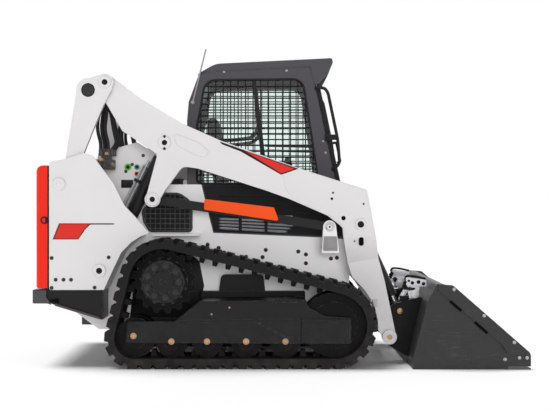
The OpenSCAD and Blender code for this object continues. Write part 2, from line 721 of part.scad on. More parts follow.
// Lift cylinders, drawn along their own axis
lift_line = lift_eye - lift_base;
lift_len = norm(lift_line);
module along(base, line, y) {
    translate([base.x, y, base.y]) rotate([0, -atan2(line.y, line.x), 0]) children();
}
module tube_x(r, x0, x1) {
    translate([x0, 0, 0]) rotate([0, 90, 0]) cylinder(r = r, h = x1 - x0);
}
module eye_y(x, r, w) {
    translate([x, w, 0]) rotate([90, 0, 0]) cylinder(r = r, h = 2 * w);
}
module lift_barrels() {
    color("black") both() along(lift_base, lift_line, y_cyl) difference() {
        union() {
            tube_x(lift_r, 0, 850);
            eye_y(0, lift_r + 6, lift_r - 7);
        }
        tube_x(lift_r - tube_wall, 75, 830);
        tube_x(lift_rod_r + 0.5, 829, 851);
        eye_y(0, pin_r + pin_play, lift_r + 5);
    }
}
module lift_rods() {
    color("silver") both() along(lift_base, lift_line, y_cyl) difference() {
        union() {
            tube_x(lift_r - tube_wall - 0.6, 85, 135);
            tube_x(lift_rod_r, 100, lift_len);
            eye_y(lift_len, 42, 34);
        }
        eye_y(lift_len, pin_r, 40);
    }
}
// Tool pins, quick attach, bucket
module pivot_pins() {
    color("brown") both() {
        bar(tool_pin, pin_r, y_ear0 - 6, y_low1 + 2);
        bar(tool_pin, 38, y_low1 + 2, y_low1 + 14);
    }
}
back0 = [872, 50];
back1 = [973, 445];
back_n = [-unit(back1 - back0).y, unit(back1 - back0).x] * 22;
module quick_attach() {
    ear = outline([[735, 128, 25], [850, 56], back0 + back_n * 0.6, back1 + back_n * 0.6, [880, 430, 20], [770, 400, 40], [690, 215, 30]]);
    color("black") {
        difference() {
            slab([back0, back1, back1 + back_n, back0 + back_n], -y_ear1, y_ear1);
            for (s = [-1, 0, 1]) box([840, s * 250 - 80, 150], [1000, s * 250 + 80, 350]);
            both() box([840, y_tilt - 36, 300], [1000, y_tilt + 36, 430]);
        }
        both() difference() {
            union() {
                slab(ear, y_ear0, y_ear1);
                slab(ear, y_tilt - tilt_r - 6 - 25, y_tilt - tilt_r - 6);
            }
            bar(tool_pin, pin_r + pin_play, y_ear0 - 200, y_ear1 + 1);
        }
    }
}
bucket_side = outline([[872, 0, 6], [back0.x, back0.y, 0], [back1.x, back1.y, 0], [1032, 560, 12], [1138, 551, 30],
    [front_x - 8, 112, 10], [front_x, 90], [front_x, 0]]);
module bucket() {
    w = bucket_wall;
    hollow = outline([[back0.x + w + 2, w + 44, 0], [back1.x + w, back1.y - 4, 0], [1044, 552], [1050, 620],
        [1145, 620], [front_x + 60, 160], [front_x + 60, w + 8], [back0.x + 60, w + 8, 30]]);
    color("dimgray") {
        difference() {
            slab(bucket_side, -bucket_half, bucket_half);
            slab(hollow, -bucket_half + w, bucket_half - w);
            box([front_x - edge_d, -bucket_half - 1, -1], [front_x + 1, bucket_half + 1, edge_t]);
        }
        slab([[1028, 548], [1034, 560], [1080, 557], [1080, 535], [1040, 532]], -bucket_half + 1, bucket_half - 1);
        both() slab(outline([[1040, 556, 10], [1136, 549, 25], [1588, 156], [front_x - 40, 100], [front_x - 150, 100, 20],
            [1455, 165], [1042, 520, 10]]), bucket_half - 1, bucket_half + cutter_t);
    }
}
module cutting_edge() {
    color("dimgray") slab([[front_x - edge_d, 0], [front_x, 0], [front_x, 8], [front_x - 30, edge_t],
        [front_x - edge_d, edge_t]], -bucket_half, bucket_half);
}
// Tilt cylinders
tilt_line = tilt_eye - tilt_base;
tilt_len = norm(tilt_line);
module tilt_barrels() {
    color("black") both() along(tilt_base, tilt_line, y_tilt) difference() {
        union() {
            tube_x(tilt_r, 0, 545);
            eye_y(0, tilt_r + 4, tilt_r - 5);
        }
        tube_x(tilt_r - tube_wall, 52, 530);
        tube_x(tilt_rod_r + 0.5, 529, 546);
        eye_y(0, 25 + pin_play, tilt_r + 5);
    }
}
module tilt_pistons() {
    color("silver") both() along(tilt_base, tilt_line, y_tilt) difference() {
        tube_x(tilt_r - tube_wall - 0.6, 240, 280);
        tube_x(tilt_rod_r + 0.4, 239, 281);
    }
}
module tilt_rods() {
    color("silver") both() along(tilt_base, tilt_line, y_tilt) difference() {
        union() {
            tube_x(tilt_rod_r, 126, tilt_len);
            eye_y(tilt_len, 34, 26);
        }
        eye_y(tilt_len, 22, 30);
    }
}

main_frame();
tower_right();
tower_left();
rear_link_right();
rear_link_left();
link_cross_tube();
rear_bumper();
engine_block();
side_vents();
track_mounts();
cab_frame();
cab_roof();
cab_rear_window();
side_windows();
side_screens();
seat_base();
seat_cushion();
seat_back();
control_consoles();
grab_handles();
work_lamps();
antenna();
track_frame_right();
track_frame_left();
track_right();
track_left();
sprockets();
idlers();
rollers();
tailgate_frame();
tailgate_grille();
tail_lamps();
engine_hood();
cab_door_frame();
cab_door_glass();
lift_arm_right();
lift_arm_left();
arm_cross_beam();
control_links();
arm_support();
lift_barrels();
lift_rods();
pivot_pins();
quick_attach();
bucket();
cutting_edge();
tilt_barrels();
tilt_pistons();
tilt_rods();
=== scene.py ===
"""Finishes, fittings and studio for a compact track loader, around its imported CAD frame."""
import math

import bmesh
import bpy
from bpy.props import FloatProperty, FloatVectorProperty, IntProperty, PointerProperty
from mathutils import Matrix, Vector


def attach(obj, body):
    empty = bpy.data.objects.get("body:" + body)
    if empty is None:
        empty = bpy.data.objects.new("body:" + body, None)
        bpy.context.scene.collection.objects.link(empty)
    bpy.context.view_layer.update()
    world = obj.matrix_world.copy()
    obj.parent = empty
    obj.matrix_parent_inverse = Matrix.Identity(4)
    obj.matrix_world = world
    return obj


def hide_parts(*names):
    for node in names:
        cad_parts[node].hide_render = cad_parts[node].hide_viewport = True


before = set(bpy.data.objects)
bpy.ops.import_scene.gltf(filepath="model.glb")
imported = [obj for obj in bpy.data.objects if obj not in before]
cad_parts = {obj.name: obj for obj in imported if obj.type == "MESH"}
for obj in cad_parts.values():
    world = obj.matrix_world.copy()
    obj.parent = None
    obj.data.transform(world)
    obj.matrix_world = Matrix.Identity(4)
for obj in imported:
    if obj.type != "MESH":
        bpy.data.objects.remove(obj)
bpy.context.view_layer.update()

bl_info = {
    "name": "Compact Track Loader",
    "version": (1, 0, 0),
    "blender": (4, 5, 0),
    "location": "3D View > Sidebar > Loader",
    "description": "Finishes, fasteners, hoses, cab trim and a studio for a compact track loader",
    "category": "Object",
}


def screen(red, green, blue):
    """A colour picked on screen, from 0 to 255, as linear values."""
    def straight(value):
        value /= 255
        return value / 12.92 if value <= 0.04045 else ((value + 0.055) / 1.055) ** 2.4
    return (straight(red), straight(green), straight(blue))


def colour(name, text, red, green, blue):
    """Property for one paint or material colour."""
    return FloatVectorProperty(name=name, description=text, subtype="COLOR", size=3, min=0, max=1,
                               default=screen(red, green, blue))


def length(name, text, size):
    """Property for one size in metres."""
    return FloatProperty(name=name, description=text, subtype="DISTANCE", unit="LENGTH", min=0.0001, default=size)


class LoaderColours(bpy.types.PropertyGroup):
    """Colours of the loader's finishes."""
    body: colour("Body", "Off-white paint of body, towers and arms", 218, 216, 217)
    black: colour("Black paint", "Undercarriage, links and cylinders", 25, 24, 26)
    cab: colour("Cab", "Grey paint of the cab", 74, 71, 76)
    trim: colour("Trim", "Moulded black trim", 27, 27, 29)
    rubber: colour("Rubber", "Tracks, hoses and seals", 28, 27, 28)
    red: colour("Tailgate red", "Tailgate and stripes", 236, 34, 14)
    orange: colour("Support orange", "Stowed arm support", 244, 82, 18)
    bucket: colour("Bucket", "Painted bucket", 50, 49, 50)
    steel: colour("Steel", "Bare and dark steel", 98, 97, 98)
    bronze: colour("Bronze", "Passivated pins and axle bolts", 206, 164, 124)
    zinc: colour("Zinc", "Plated bolts and fittings", 190, 192, 196)
    glass: colour("Glass", "Tint of the cab glass", 241, 250, 247)
    cloth: colour("Seat cloth", "Seat cover", 58, 58, 62)
    dust: colour("Dust", "Dry dust low on the machine", 120, 112, 102)


class LoaderSizes(bpy.types.PropertyGroup):
    """Sizes of the loader's small parts."""
    bolt: length("Panel bolt", "Half the width of a panel bolt's head", 0.0095)
    axle_bolt: length("Axle bolt", "Half the width of a roller bolt's head", 0.014)
    hub_bolt: length("Hub bolt", "Half the width of a hub bolt's head", 0.015)
    hub_bolts: IntProperty(name="Hub bolts", description="Bolts round each drive hub", min=4, max=16, default=9)
    hose: length("Hose", "Radius of a hydraulic hose", 0.0125)
    handle: length("Handle", "Radius of a grab handle", 0.011)
    wire: length("Screen wire", "Radius of a window screen's wire", 0.0045)
    cell_x: length("Screen cell width", "Spacing of the upright wires", 0.052)
    cell_z: length("Screen cell height", "Spacing of the level wires", 0.041)
    decal: length("Stripe thickness", "Thickness of a stripe film", 0.0012)


# ---------- Places and directions ----------

NEAR, UP, FORE, AFT = (0, -1, 0), (0, 0, 1), (1, 0, 0), (-1, 0, 0)

# Faces of the machine's right side, in millimetres across it
BODY_FACE = -450
TOWER_FACE = -806
ARM_FACE = -715
CAB_FACE = -430
VALVE_PANEL = -470
LINK_FACE = -659
TRACK_FRAME_FACE = -880
BUCKET_FACE = -940
BUMPER_FACE = -784

# Axis of the drive hubs and of the lift cylinders' lower pins, in millimetres
HUB_X, HUB_Z = -771, 571
CYLINDER_PIN, CYLINDER_LINE, CYLINDER_Y = (-1198, 641), (426, 856), -525

# Where the hoses leave the valve block, in millimetres
HOSE_STARTS = ((-1215, -605), (-1190, -590), (-1165, -606), (-1142, -588), (-1128, -560))
HOSE_FOOT = 1452

WINDOW = [(-515, 1945, 90), (163, 1952, 80), (262, 1314, 20), (262, 1225, 30), (-572, 1225, 30), (-572, 1633, 60),
          (-550, 1733, 60)]


# ---------- Shapes ----------

def at(x, y, z):
    """A place in the frame, given in millimetres."""
    return Vector((x, y, z)) / 1000


def rounded(points, steps=6):
    """Side outline whose corners [x, z, radius] are rounded, in millimetres."""
    out = []
    for i, point in enumerate(points):
        here = Vector(point[:2])
        if len(point) < 3 or point[2] == 0:
            out.append(here)
            continue
        a = (Vector(points[i - 1][:2]) - here).normalized()
        b = (Vector(points[(i + 1) % len(points)][:2]) - here).normalized()
        half = a.angle(b) / 2
        reach = point[2] / math.tan(half)
        centre = here + (a + b).normalized() * (point[2] / math.sin(half))
        start = here + a * reach - centre
        turn = start.angle_signed(here + b * reach - centre)
        for k in range(steps + 1):
            part = start.copy()
            part.rotate(Matrix.Rotation(-turn * k / steps, 2))
            out.append(centre + part)
    return out


def facing(direction):
    """Turn that points a shape's Z along a direction."""
    return Vector(direction).to_track_quat("Z", "Y").to_matrix().to_4x4()


def hub_at(y, turn=0.0, reach=0):
    """A place on a drive hub, by angle and by distance from its axis in millimetres."""
    return at(HUB_X + reach * math.cos(turn), y, HUB_Z + reach * math.sin(turn))


def door_turn():
    """Turn from the cab's raked front, where its door and lamps are laid out, into the frame."""
    return Matrix.Translation(at(461.5, 0, 905)) @ Matrix.Rotation(math.radians(-12.12), 4, "Y")


def verts_of(made):
    """Vertices among what a mesh operator made."""
    return [g for g in made["geom"] if isinstance(g, bmesh.types.BMVert)]


def edges_at(verts):
    """Edges that meet at vertices, each once and in the same order on every run."""
    return list(dict.fromkeys(e for v in verts for e in v.link_edges))


def soften(bm, edges, offset):
    """Rounds edges off."""
    bmesh.ops.bevel(bm, geom=list(edges), offset=offset, segments=2, profile=0.5, affect="EDGES", material=-1,
                    clamp_overlap=True)


def disc(bm, centre, direction, radius, depth, sides=32, top=None, rim=0.0):
    """Round or many-sided block about its centre, with its two rims rounded off."""
    made = bmesh.ops.create_cone(bm, cap_ends=True, cap_tris=False, segments=sides, radius1=radius,
                                 radius2=radius if top is None else top, depth=depth,
                                 matrix=Matrix.Translation(centre) @ facing(direction))
    if rim:
        caps = dict.fromkeys(f for v in made["verts"] for f in v.link_faces if len(f.verts) == sides)
        soften(bm, dict.fromkeys(e for f in caps for e in f.edges), rim)


def bolt(bm, place, direction, size):
    """Hex bolt on its washer, standing on a face at a place."""
    direction = Vector(direction).normalized()
    disc(bm, place + direction * size * 0.12, direction, size * 1.5, size * 0.24, 20, rim=size * 0.06)
    disc(bm, place + direction * size * 0.55, direction, size * 1.08, size * 0.7, 6, top=size, rim=size * 0.12)


def ring(bm, centre, direction, outer, inner, depth, sides=40):
    """Flat ring with rounded edges, by spinning its section."""
    lift = facing(direction)
    edge = min(outer - inner, depth) * 0.18
    section = [(inner, -depth / 2 + edge), (inner + edge, -depth / 2), (outer - edge, -depth / 2),
               (outer, -depth / 2 + edge), (outer, depth / 2 - edge), (outer - edge, depth / 2),
               (inner + edge, depth / 2), (inner, depth / 2 - edge)]
    verts = [bm.verts.new(centre + lift.to_3x3() @ Vector((r, 0, h))) for r, h in section]
    edges = [bm.edges.new((verts[i], verts[(i + 1) % len(verts)])) for i in range(len(verts))]
    bmesh.ops.spin(bm, geom=verts + edges, cent=centre, axis=lift.to_3x3() @ Vector(UP), dvec=(0, 0, 0),
                   angle=math.tau, steps=sides, use_merge=True, use_duplicate=False)


def plate(bm, outline, y0, y1, rim=0.0):
    """Flat plate with a side outline in millimetres, between two faces across the machine."""
    verts = [bm.verts.new(at(p[0], y0, p[1])) for p in outline]
    face = bm.faces.new(verts)
    made = bmesh.ops.extrude_face_region(bm, geom=[face])
    bmesh.ops.translate(bm, verts=verts_of(made), vec=at(0, y1 - y0, 0))
    if rim:
        cap = next(g for g in made["geom"] if isinstance(g, bmesh.types.BMFace))
        soften(bm, cap.edges, rim)


def block(bm, low, high, rim=0.0, turn=None):
    """Block between two corners in millimetres, with rounded edges."""
    low, high = Vector(low) / 1000, Vector(high) / 1000
    size, centre = high - low, (low + high) / 2
    place = Matrix.Translation(centre) @ (turn or Matrix()) @ Matrix.Diagonal((*size, 1))
    made = bmesh.ops.create_cube(bm, size=1, matrix=place)
    if rim:
        soften(bm, edges_at(made["verts"]), rim / 1000)


def mirrored(bm):
    """Adds the same shapes on the machine's other side."""
    copy = bmesh.ops.duplicate(bm, geom=bm.verts[:] + bm.edges[:] + bm.faces[:])
    bmesh.ops.scale(bm, vec=(1, -1, 1), verts=verts_of(copy))


def rim_inside(bm, points, width, depth):
    """Flat rim inside a closed line of points in metres, thickened by a vector."""
    verts = [bm.verts.new(p) for p in points]
    face = bm.faces.new(verts)
    bmesh.ops.inset_region(bm, faces=[face], thickness=width, use_even_offset=True)
    band = [f for f in bm.faces if f != face and any(v in f.verts for v in verts)]
    bmesh.ops.delete(bm, geom=[face], context="FACES_ONLY")
    made = bmesh.ops.extrude_face_region(bm, geom=band)
    bmesh.ops.translate(bm, verts=verts_of(made), vec=depth)


def bent(points, radius, steps=7):
    """Line through corner points with each corner bent to a radius in millimetres, in metres."""
    points = [Vector(p) for p in points]
    out = [points[0]]
    for before, here, after in zip(points, points[1:], points[2:]):
        a, b = (before - here), (after - here)
        reach = min(radius, a.length * 0.48, b.length * 0.48)
        start, end = here + a.normalized() * reach, here + b.normalized() * reach
        for k in range(steps + 1):
            t = k / steps
            out.append(start * (1 - t) ** 2 + here * 2 * t * (1 - t) + end * t ** 2)
    out.append(points[-1])
    return [p / 1000 for p in out]


def line_curve(name, points, radius, sides=3):
    """Round bar along a line of points in metres, as a curve."""
    data = bpy.data.curves.new(name, "CURVE")
    data.dimensions = "3D"
    data.bevel_depth = radius
    data.bevel_resolution = sides
    data.use_fill_caps = True
    spline = data.splines.new("POLY")
    spline.points.add(len(points) - 1)
    for knot, p in zip(spline.points, points):
        knot.co = (*p, 1)
    spline.use_smooth = True
    return bpy.data.objects.new(name, data)


def add_bar(bm, points, radius, sides=3):
    """Adds a round bar along points in metres to a mesh."""
    helper = line_curve("bar_helper", points, radius, sides)
    mesh = bpy.data.meshes.new_from_object(helper)
    bm.from_mesh(mesh)
    bpy.data.objects.remove(helper)
    bpy.data.meshes.remove(mesh)


def keep(name, bm, body, finish, angle=35):
    """Makes a finished piece of a mesh and lets it ride on a body."""
    bmesh.ops.recalc_face_normals(bm, faces=bm.faces[:])
    mesh = bpy.data.meshes.new(name)
    bm.to_mesh(mesh)
    bm.free()
    mesh.shade_smooth()
    mesh.set_sharp_from_angle(angle=math.radians(angle))
    mesh.materials.append(material(finish))
    piece = bpy.data.objects.new(name, mesh)
    bpy.context.scene.collection.objects.link(piece)
    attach(piece, body)
    return piece


def keep_pair(name, bm, body, finish):
    """Makes one finished piece of a mesh and its like on the machine's other side."""
    mirrored(bm)
    return keep(name, bm, body, finish)


# ---------- Shader groups ----------

def new_group(name, inputs, outputs):
    """Empty shader group with named sockets; returns it with its two end nodes."""
    group = bpy.data.node_groups.new(name, "ShaderNodeTree")
    for label, kind, value in inputs:
        socket = group.interface.new_socket(label, in_out="INPUT", socket_type="NodeSocket" + kind)
        if value is not None:
            socket.default_value = value
    for label, kind in outputs:
        group.interface.new_socket(label, in_out="OUTPUT", socket_type="NodeSocket" + kind)
    return group, group.nodes.new("NodeGroupInput"), group.nodes.new("NodeGroupOutput")


def feed(tree, socket, value):
    """Links a socket to another one, or sets its plain value."""
    if isinstance(value, bpy.types.NodeSocket):
        tree.links.new(value, socket)
    elif value is not None:
        socket.default_value = value


def sums(tree, operation, a, b=None, c=None, clamp=False):
    """Math node."""
    node = tree.nodes.new("ShaderNodeMath")
    node.operation = operation
    node.use_clamp = clamp
    for socket, value in zip(node.inputs, (a, b, c)):
        feed(tree, socket, value)
    return node.outputs[0]


def blend_colours(tree, factor, a, b):
    """Mix of two colours."""
    node = tree.nodes.new("ShaderNodeMix")
    node.data_type = "RGBA"
    feed(tree, node.inputs[0], factor)
    feed(tree, node.inputs[6], a)
    feed(tree, node.inputs[7], b)
    return node.outputs[2]


def between(tree, value, low, high, to_low=0.0, to_high=1.0):
    """Value spread from one range onto another, kept inside it."""
    node = tree.nodes.new("ShaderNodeMapRange")
    for socket, number in zip(node.inputs, (value, low, high, to_low, to_high)):
        feed(tree, socket, number)
    return node.outputs[0]


def noise(tree, scale, detail=4.0, rough=0.55, stretch=None):
    """Noise on Object coordinates, stretched along an axis where asked."""
    coords = tree.nodes.new("ShaderNodeTexCoord").outputs["Object"]
    if stretch:
        mapping = tree.nodes.new("ShaderNodeMapping")
        mapping.inputs["Scale"].default_value = stretch
        tree.links.new(coords, mapping.inputs["Vector"])
        coords = mapping.outputs[0]
    node = tree.nodes.new("ShaderNodeTexNoise")
    tree.links.new(coords, node.inputs["Vector"])
    feed(tree, node.inputs["Scale"], scale)
    node.inputs["Detail"].default_value = detail
    node.inputs["Roughness"].default_value = rough
    return node.outputs["Fac"]


def weather_group():
    """Uneven tone all over and dry dust that thins out with height."""
    tree, start, end = new_group(
        "Paint_weather",
        [("Colour", "Color", (0.8, 0.8, 0.8, 1)), ("Dust colour", "Color", (0.2, 0.18, 0.15, 1)),
         ("Dust", "Float", 0.2), ("Dust height", "Float", 0.5), ("Mottle", "Float", 0.06)],
        [("Colour", "Color"), ("Dust mask", "Float")])
    tone = between(tree, noise(tree, 2.6, 5), 0.3, 0.7)
    darker = sums(tree, "SUBTRACT", 1.0, sums(tree, "MULTIPLY", tone, start.outputs["Mottle"]))
    scaled = tree.nodes.new("ShaderNodeVectorMath")
    scaled.operation = "SCALE"
    tree.links.new(start.outputs["Colour"], scaled.inputs[0])
    tree.links.new(darker, scaled.inputs["Scale"])
    split = tree.nodes.new("ShaderNodeSeparateXYZ")
    tree.links.new(tree.nodes.new("ShaderNodeTexCoord").outputs["Object"], split.inputs[0])
    low = between(tree, split.outputs["Z"], 0.0, start.outputs["Dust height"], 1.0, 0.0)
    patch = between(tree, noise(tree, 11, 7, 0.62), 0.36, 0.68)
    mask = sums(tree, "MULTIPLY", sums(tree, "MULTIPLY", low, patch), start.outputs["Dust"], clamp=True)
    tree.links.new(blend_colours(tree, mask, scaled.outputs[0], start.outputs["Dust colour"]), end.inputs["Colour"])
    tree.links.new(mask, end.inputs["Dust mask"])
    return tree


def edge_group():
    """Where edges are rubbed through, and a normal that rounds them; on dark finishes with a light edge colour these
    edges are also painted glints.
    """
    tree, start, end = new_group("Edge_rub_and_glint", [("Width", "Float", 0.004), ("Amount", "Float", 0.5)],
                                 [("Mask", "Float"), ("Normal", "Vector")])
    soft = tree.nodes.new("ShaderNodeBevel")
    soft.samples = 4
    tree.links.new(start.outputs["Width"], soft.inputs["Radius"])
    dot = tree.nodes.new("ShaderNodeVectorMath")
    dot.operation = "DOT_PRODUCT"
    tree.links.new(soft.outputs[0], dot.inputs[0])
    tree.links.new(tree.nodes.new("ShaderNodeNewGeometry").outputs["Normal"], dot.inputs[1])
    away = between(tree, dot.outputs["Value"], 0.995, 0.86)
    broken = between(tree, noise(tree, 38, 6, 0.65), 0.42, 0.62)
    mask = sums(tree, "MULTIPLY", sums(tree, "MULTIPLY", away, broken), start.outputs["Amount"], clamp=True)
    tree.links.new(mask, end.inputs["Mask"])
    tree.links.new(soft.outputs[0], end.inputs["Normal"])
    return tree


def grain_group():
    """Fine surface grain over a slow waviness."""
    tree, start, end = new_group("Fine_grain", [("Scale", "Float", 400.0), ("Wave", "Float", 0.3)],
                                 [("Height", "Float"), ("Tone", "Float")])
    fine = noise(tree, start.outputs["Scale"], 3)
    slow = noise(tree, 9, 3)
    height = sums(tree, "MULTIPLY_ADD", slow, start.outputs["Wave"], fine)
    tree.links.new(height, end.inputs["Height"])
    tree.links.new(fine, end.inputs["Tone"])
    return tree


def scuff_group():
    """Long thin scratches in two directions."""
    tree, start, end = new_group("Work_scuffs", [("Scale", "Float", 30.0), ("Amount", "Float", 0.5)],
                                 [("Mask", "Float")])
    along = between(tree, noise(tree, start.outputs["Scale"], 8, 0.6, (0.35, 1, 5)), 0.56, 0.68)
    down = between(tree, noise(tree, start.outputs["Scale"], 8, 0.6, (6, 1, 0.3)), 0.6, 0.7)
    both = sums(tree, "MAXIMUM", along, sums(tree, "MULTIPLY", down, 0.7))
    where = between(tree, noise(tree, 2.2, 3), 0.4, 0.62)
    mask = sums(tree, "MULTIPLY", sums(tree, "MULTIPLY", both, where), start.outputs["Amount"], clamp=True)
    tree.links.new(mask, end.inputs["Mask"])
    return tree


def weave_group():
    """Threads that cross, and their uneven tone."""
    tree, start, end = new_group("Cloth_weave", [("Scale", "Float", 260.0)], [("Height", "Float"), ("Tone", "Float")])
    waves = []
    for direction in ("X", "Z", "Y"):
        wave = tree.nodes.new("ShaderNodeTexWave")
        wave.bands_direction = direction
        tree.links.new(tree.nodes.new("ShaderNodeTexCoord").outputs["Object"], wave.inputs["Vector"])
        tree.links.new(start.outputs["Scale"], wave.inputs["Scale"])
        wave.inputs["Distortion"].default_value = 0.6
        waves.append(wave.outputs["Fac"])
    height = sums(tree, "MULTIPLY", sums(tree, "MAXIMUM", waves[0], waves[1]), sums(tree, "ADD", waves[2], 0.4))
    tree.links.new(height, end.inputs["Height"])
    tree.links.new(between(tree, noise(tree, 70, 4), 0.3, 0.7), end.inputs["Tone"])
    return tree


GROUP_MAKERS = {"weather": weather_group, "edges": edge_group, "grain": grain_group, "scuffs": scuff_group,
                "weave": weave_group}
GROUPS = {}
FINISHES = {}


def shared(tree, name, **values):
    """Places a shared effect in a material with its own values."""
    if name not in GROUPS:
        GROUPS[name] = GROUP_MAKERS[name]()
    node = tree.nodes.new("ShaderNodeGroup")
    node.node_tree = GROUPS[name]
    for label, value in values.items():
        feed(tree, node.inputs[label.replace("_", " ").capitalize()], value)
    return node


def times(tint, factor):
    """A colour made lighter or darker, with full cover."""
    return (*[value * factor for value in tint], 1)


def blank(name):
    """New material with its tree and its shader."""
    made = bpy.data.materials.new(name)
    made.use_nodes = True
    return made, made.node_tree, made.node_tree.nodes["Principled BSDF"]


def bump(tree, shader, height, strength, distance, normal=None):
    """Surface relief on a shader."""
    node = tree.nodes.new("ShaderNodeBump")
    node.inputs["Strength"].default_value = strength
    node.inputs["Distance"].default_value = distance
    tree.links.new(height, node.inputs["Height"])
    if normal:
        tree.links.new(normal, node.inputs["Normal"])
    tree.links.new(node.outputs[0], shader.inputs["Normal"])


def coated(name, paint, rough, metallic=0.0, coat=0.0, mottle=0.05, dust=0.1, dust_height=0.5, rub=0.3,
           rub_and_glint_colour=(0.35, 0.35, 0.36), rub_width=0.004, grain=500.0, relief=0.12, scuffs=0.0, specular=0.5):
    """Paint or metal with tone, dust, rubbed edges, grain and scratches; a light edge colour on a dark finish also
    paints glints along the edges.
    """
    colours = bpy.context.scene.loader_colours
    made, tree, shader = blank(name)
    weather = shared(tree, "weather", colour=paint, dust_colour=times(colours.dust, 1), dust=dust,
                     dust_height=dust_height, mottle=mottle)
    edges = shared(tree, "edges", width=rub_width, amount=rub)
    fine = shared(tree, "grain", scale=grain, wave=0.35)
    bare_and_glint = edges.outputs["Mask"]
    if scuffs:
        bare_and_glint = sums(tree, "MAXIMUM", bare_and_glint, shared(tree, "scuffs", scale=26.0, amount=scuffs).outputs["Mask"])
    # Rubbed edges take the edge colour: wear, and on the dark finishes also painted glints
    tree.links.new(blend_colours(tree, bare_and_glint, weather.outputs["Colour"], (*rub_and_glint_colour, 1)), shader.inputs["Base Color"])
    gloss = sums(tree, "MULTIPLY_ADD", fine.outputs["Tone"], 0.16, rough - 0.08)
    gloss = sums(tree, "MULTIPLY_ADD", weather.outputs["Dust mask"], 0.3, gloss, clamp=True)
    tree.links.new(gloss, shader.inputs["Roughness"])
    shader.inputs["Metallic"].default_value = metallic
    shader.inputs["Coat Weight"].default_value = coat
    shader.inputs["Coat Roughness"].default_value = 0.12
    shader.inputs["Specular IOR Level"].default_value = specular
    bump(tree, shader, fine.outputs["Height"], relief, 0.0006, edges.outputs["Normal"])
    return made


def cab_glass():
    """Tinted safety glass, a little hazed with dust."""
    colours = bpy.context.scene.loader_colours
    made, tree, shader = blank("cab_glass")
    haze = between(tree, noise(tree, 5, 6), 0.35, 0.75)
    tree.links.new(blend_colours(tree, haze, times(colours.glass, 1), times(colours.glass, 0.95)),
                   shader.inputs["Base Color"])
    tree.links.new(sums(tree, "MULTIPLY", haze, 0.004), shader.inputs["Roughness"])
    shader.inputs["Transmission Weight"].default_value = 1.0
    shader.inputs["IOR"].default_value = 1.45
    return made


def seat_cloth():
    """Woven seat cover."""
    colours = bpy.context.scene.loader_colours
    made, tree, shader = blank("seat_cover")
    weave = shared(tree, "weave", scale=230.0)
    thread = blend_colours(tree, weave.outputs["Tone"], times(colours.cloth, 0.7), times(colours.cloth, 1.35))
    tree.links.new(thread, shader.inputs["Base Color"])
    tree.links.new(sums(tree, "MULTIPLY_ADD", weave.outputs["Tone"], 0.1, 0.8), shader.inputs["Roughness"])
    shader.inputs["Sheen Weight"].default_value = 0.3
    bump(tree, shader, weave.outputs["Height"], 0.5, 0.0012)
    return made


def lamp_lens(name, tint):
    """Ribbed lamp lens."""
    made, tree, shader = blank(name)
    wave = tree.nodes.new("ShaderNodeTexWave")
    wave.bands_direction = "Y"
    wave.inputs["Scale"].default_value = 55
    tree.links.new(tree.nodes.new("ShaderNodeTexCoord").outputs["Object"], wave.inputs["Vector"])
    tree.links.new(blend_colours(tree, wave.outputs["Fac"], times(tint, 0.75), times(tint, 1)),
                   shader.inputs["Base Color"])
    tree.links.new(sums(tree, "MULTIPLY_ADD", wave.outputs["Fac"], 0.08, 0.08), shader.inputs["Roughness"])
    shader.inputs["Coat Weight"].default_value = 0.15
    bump(tree, shader, wave.outputs["Fac"], 0.5, 0.002)
    return made


LENSES = {"clear_lens": screen(236, 240, 244), "red_lens": screen(160, 10, 8)}


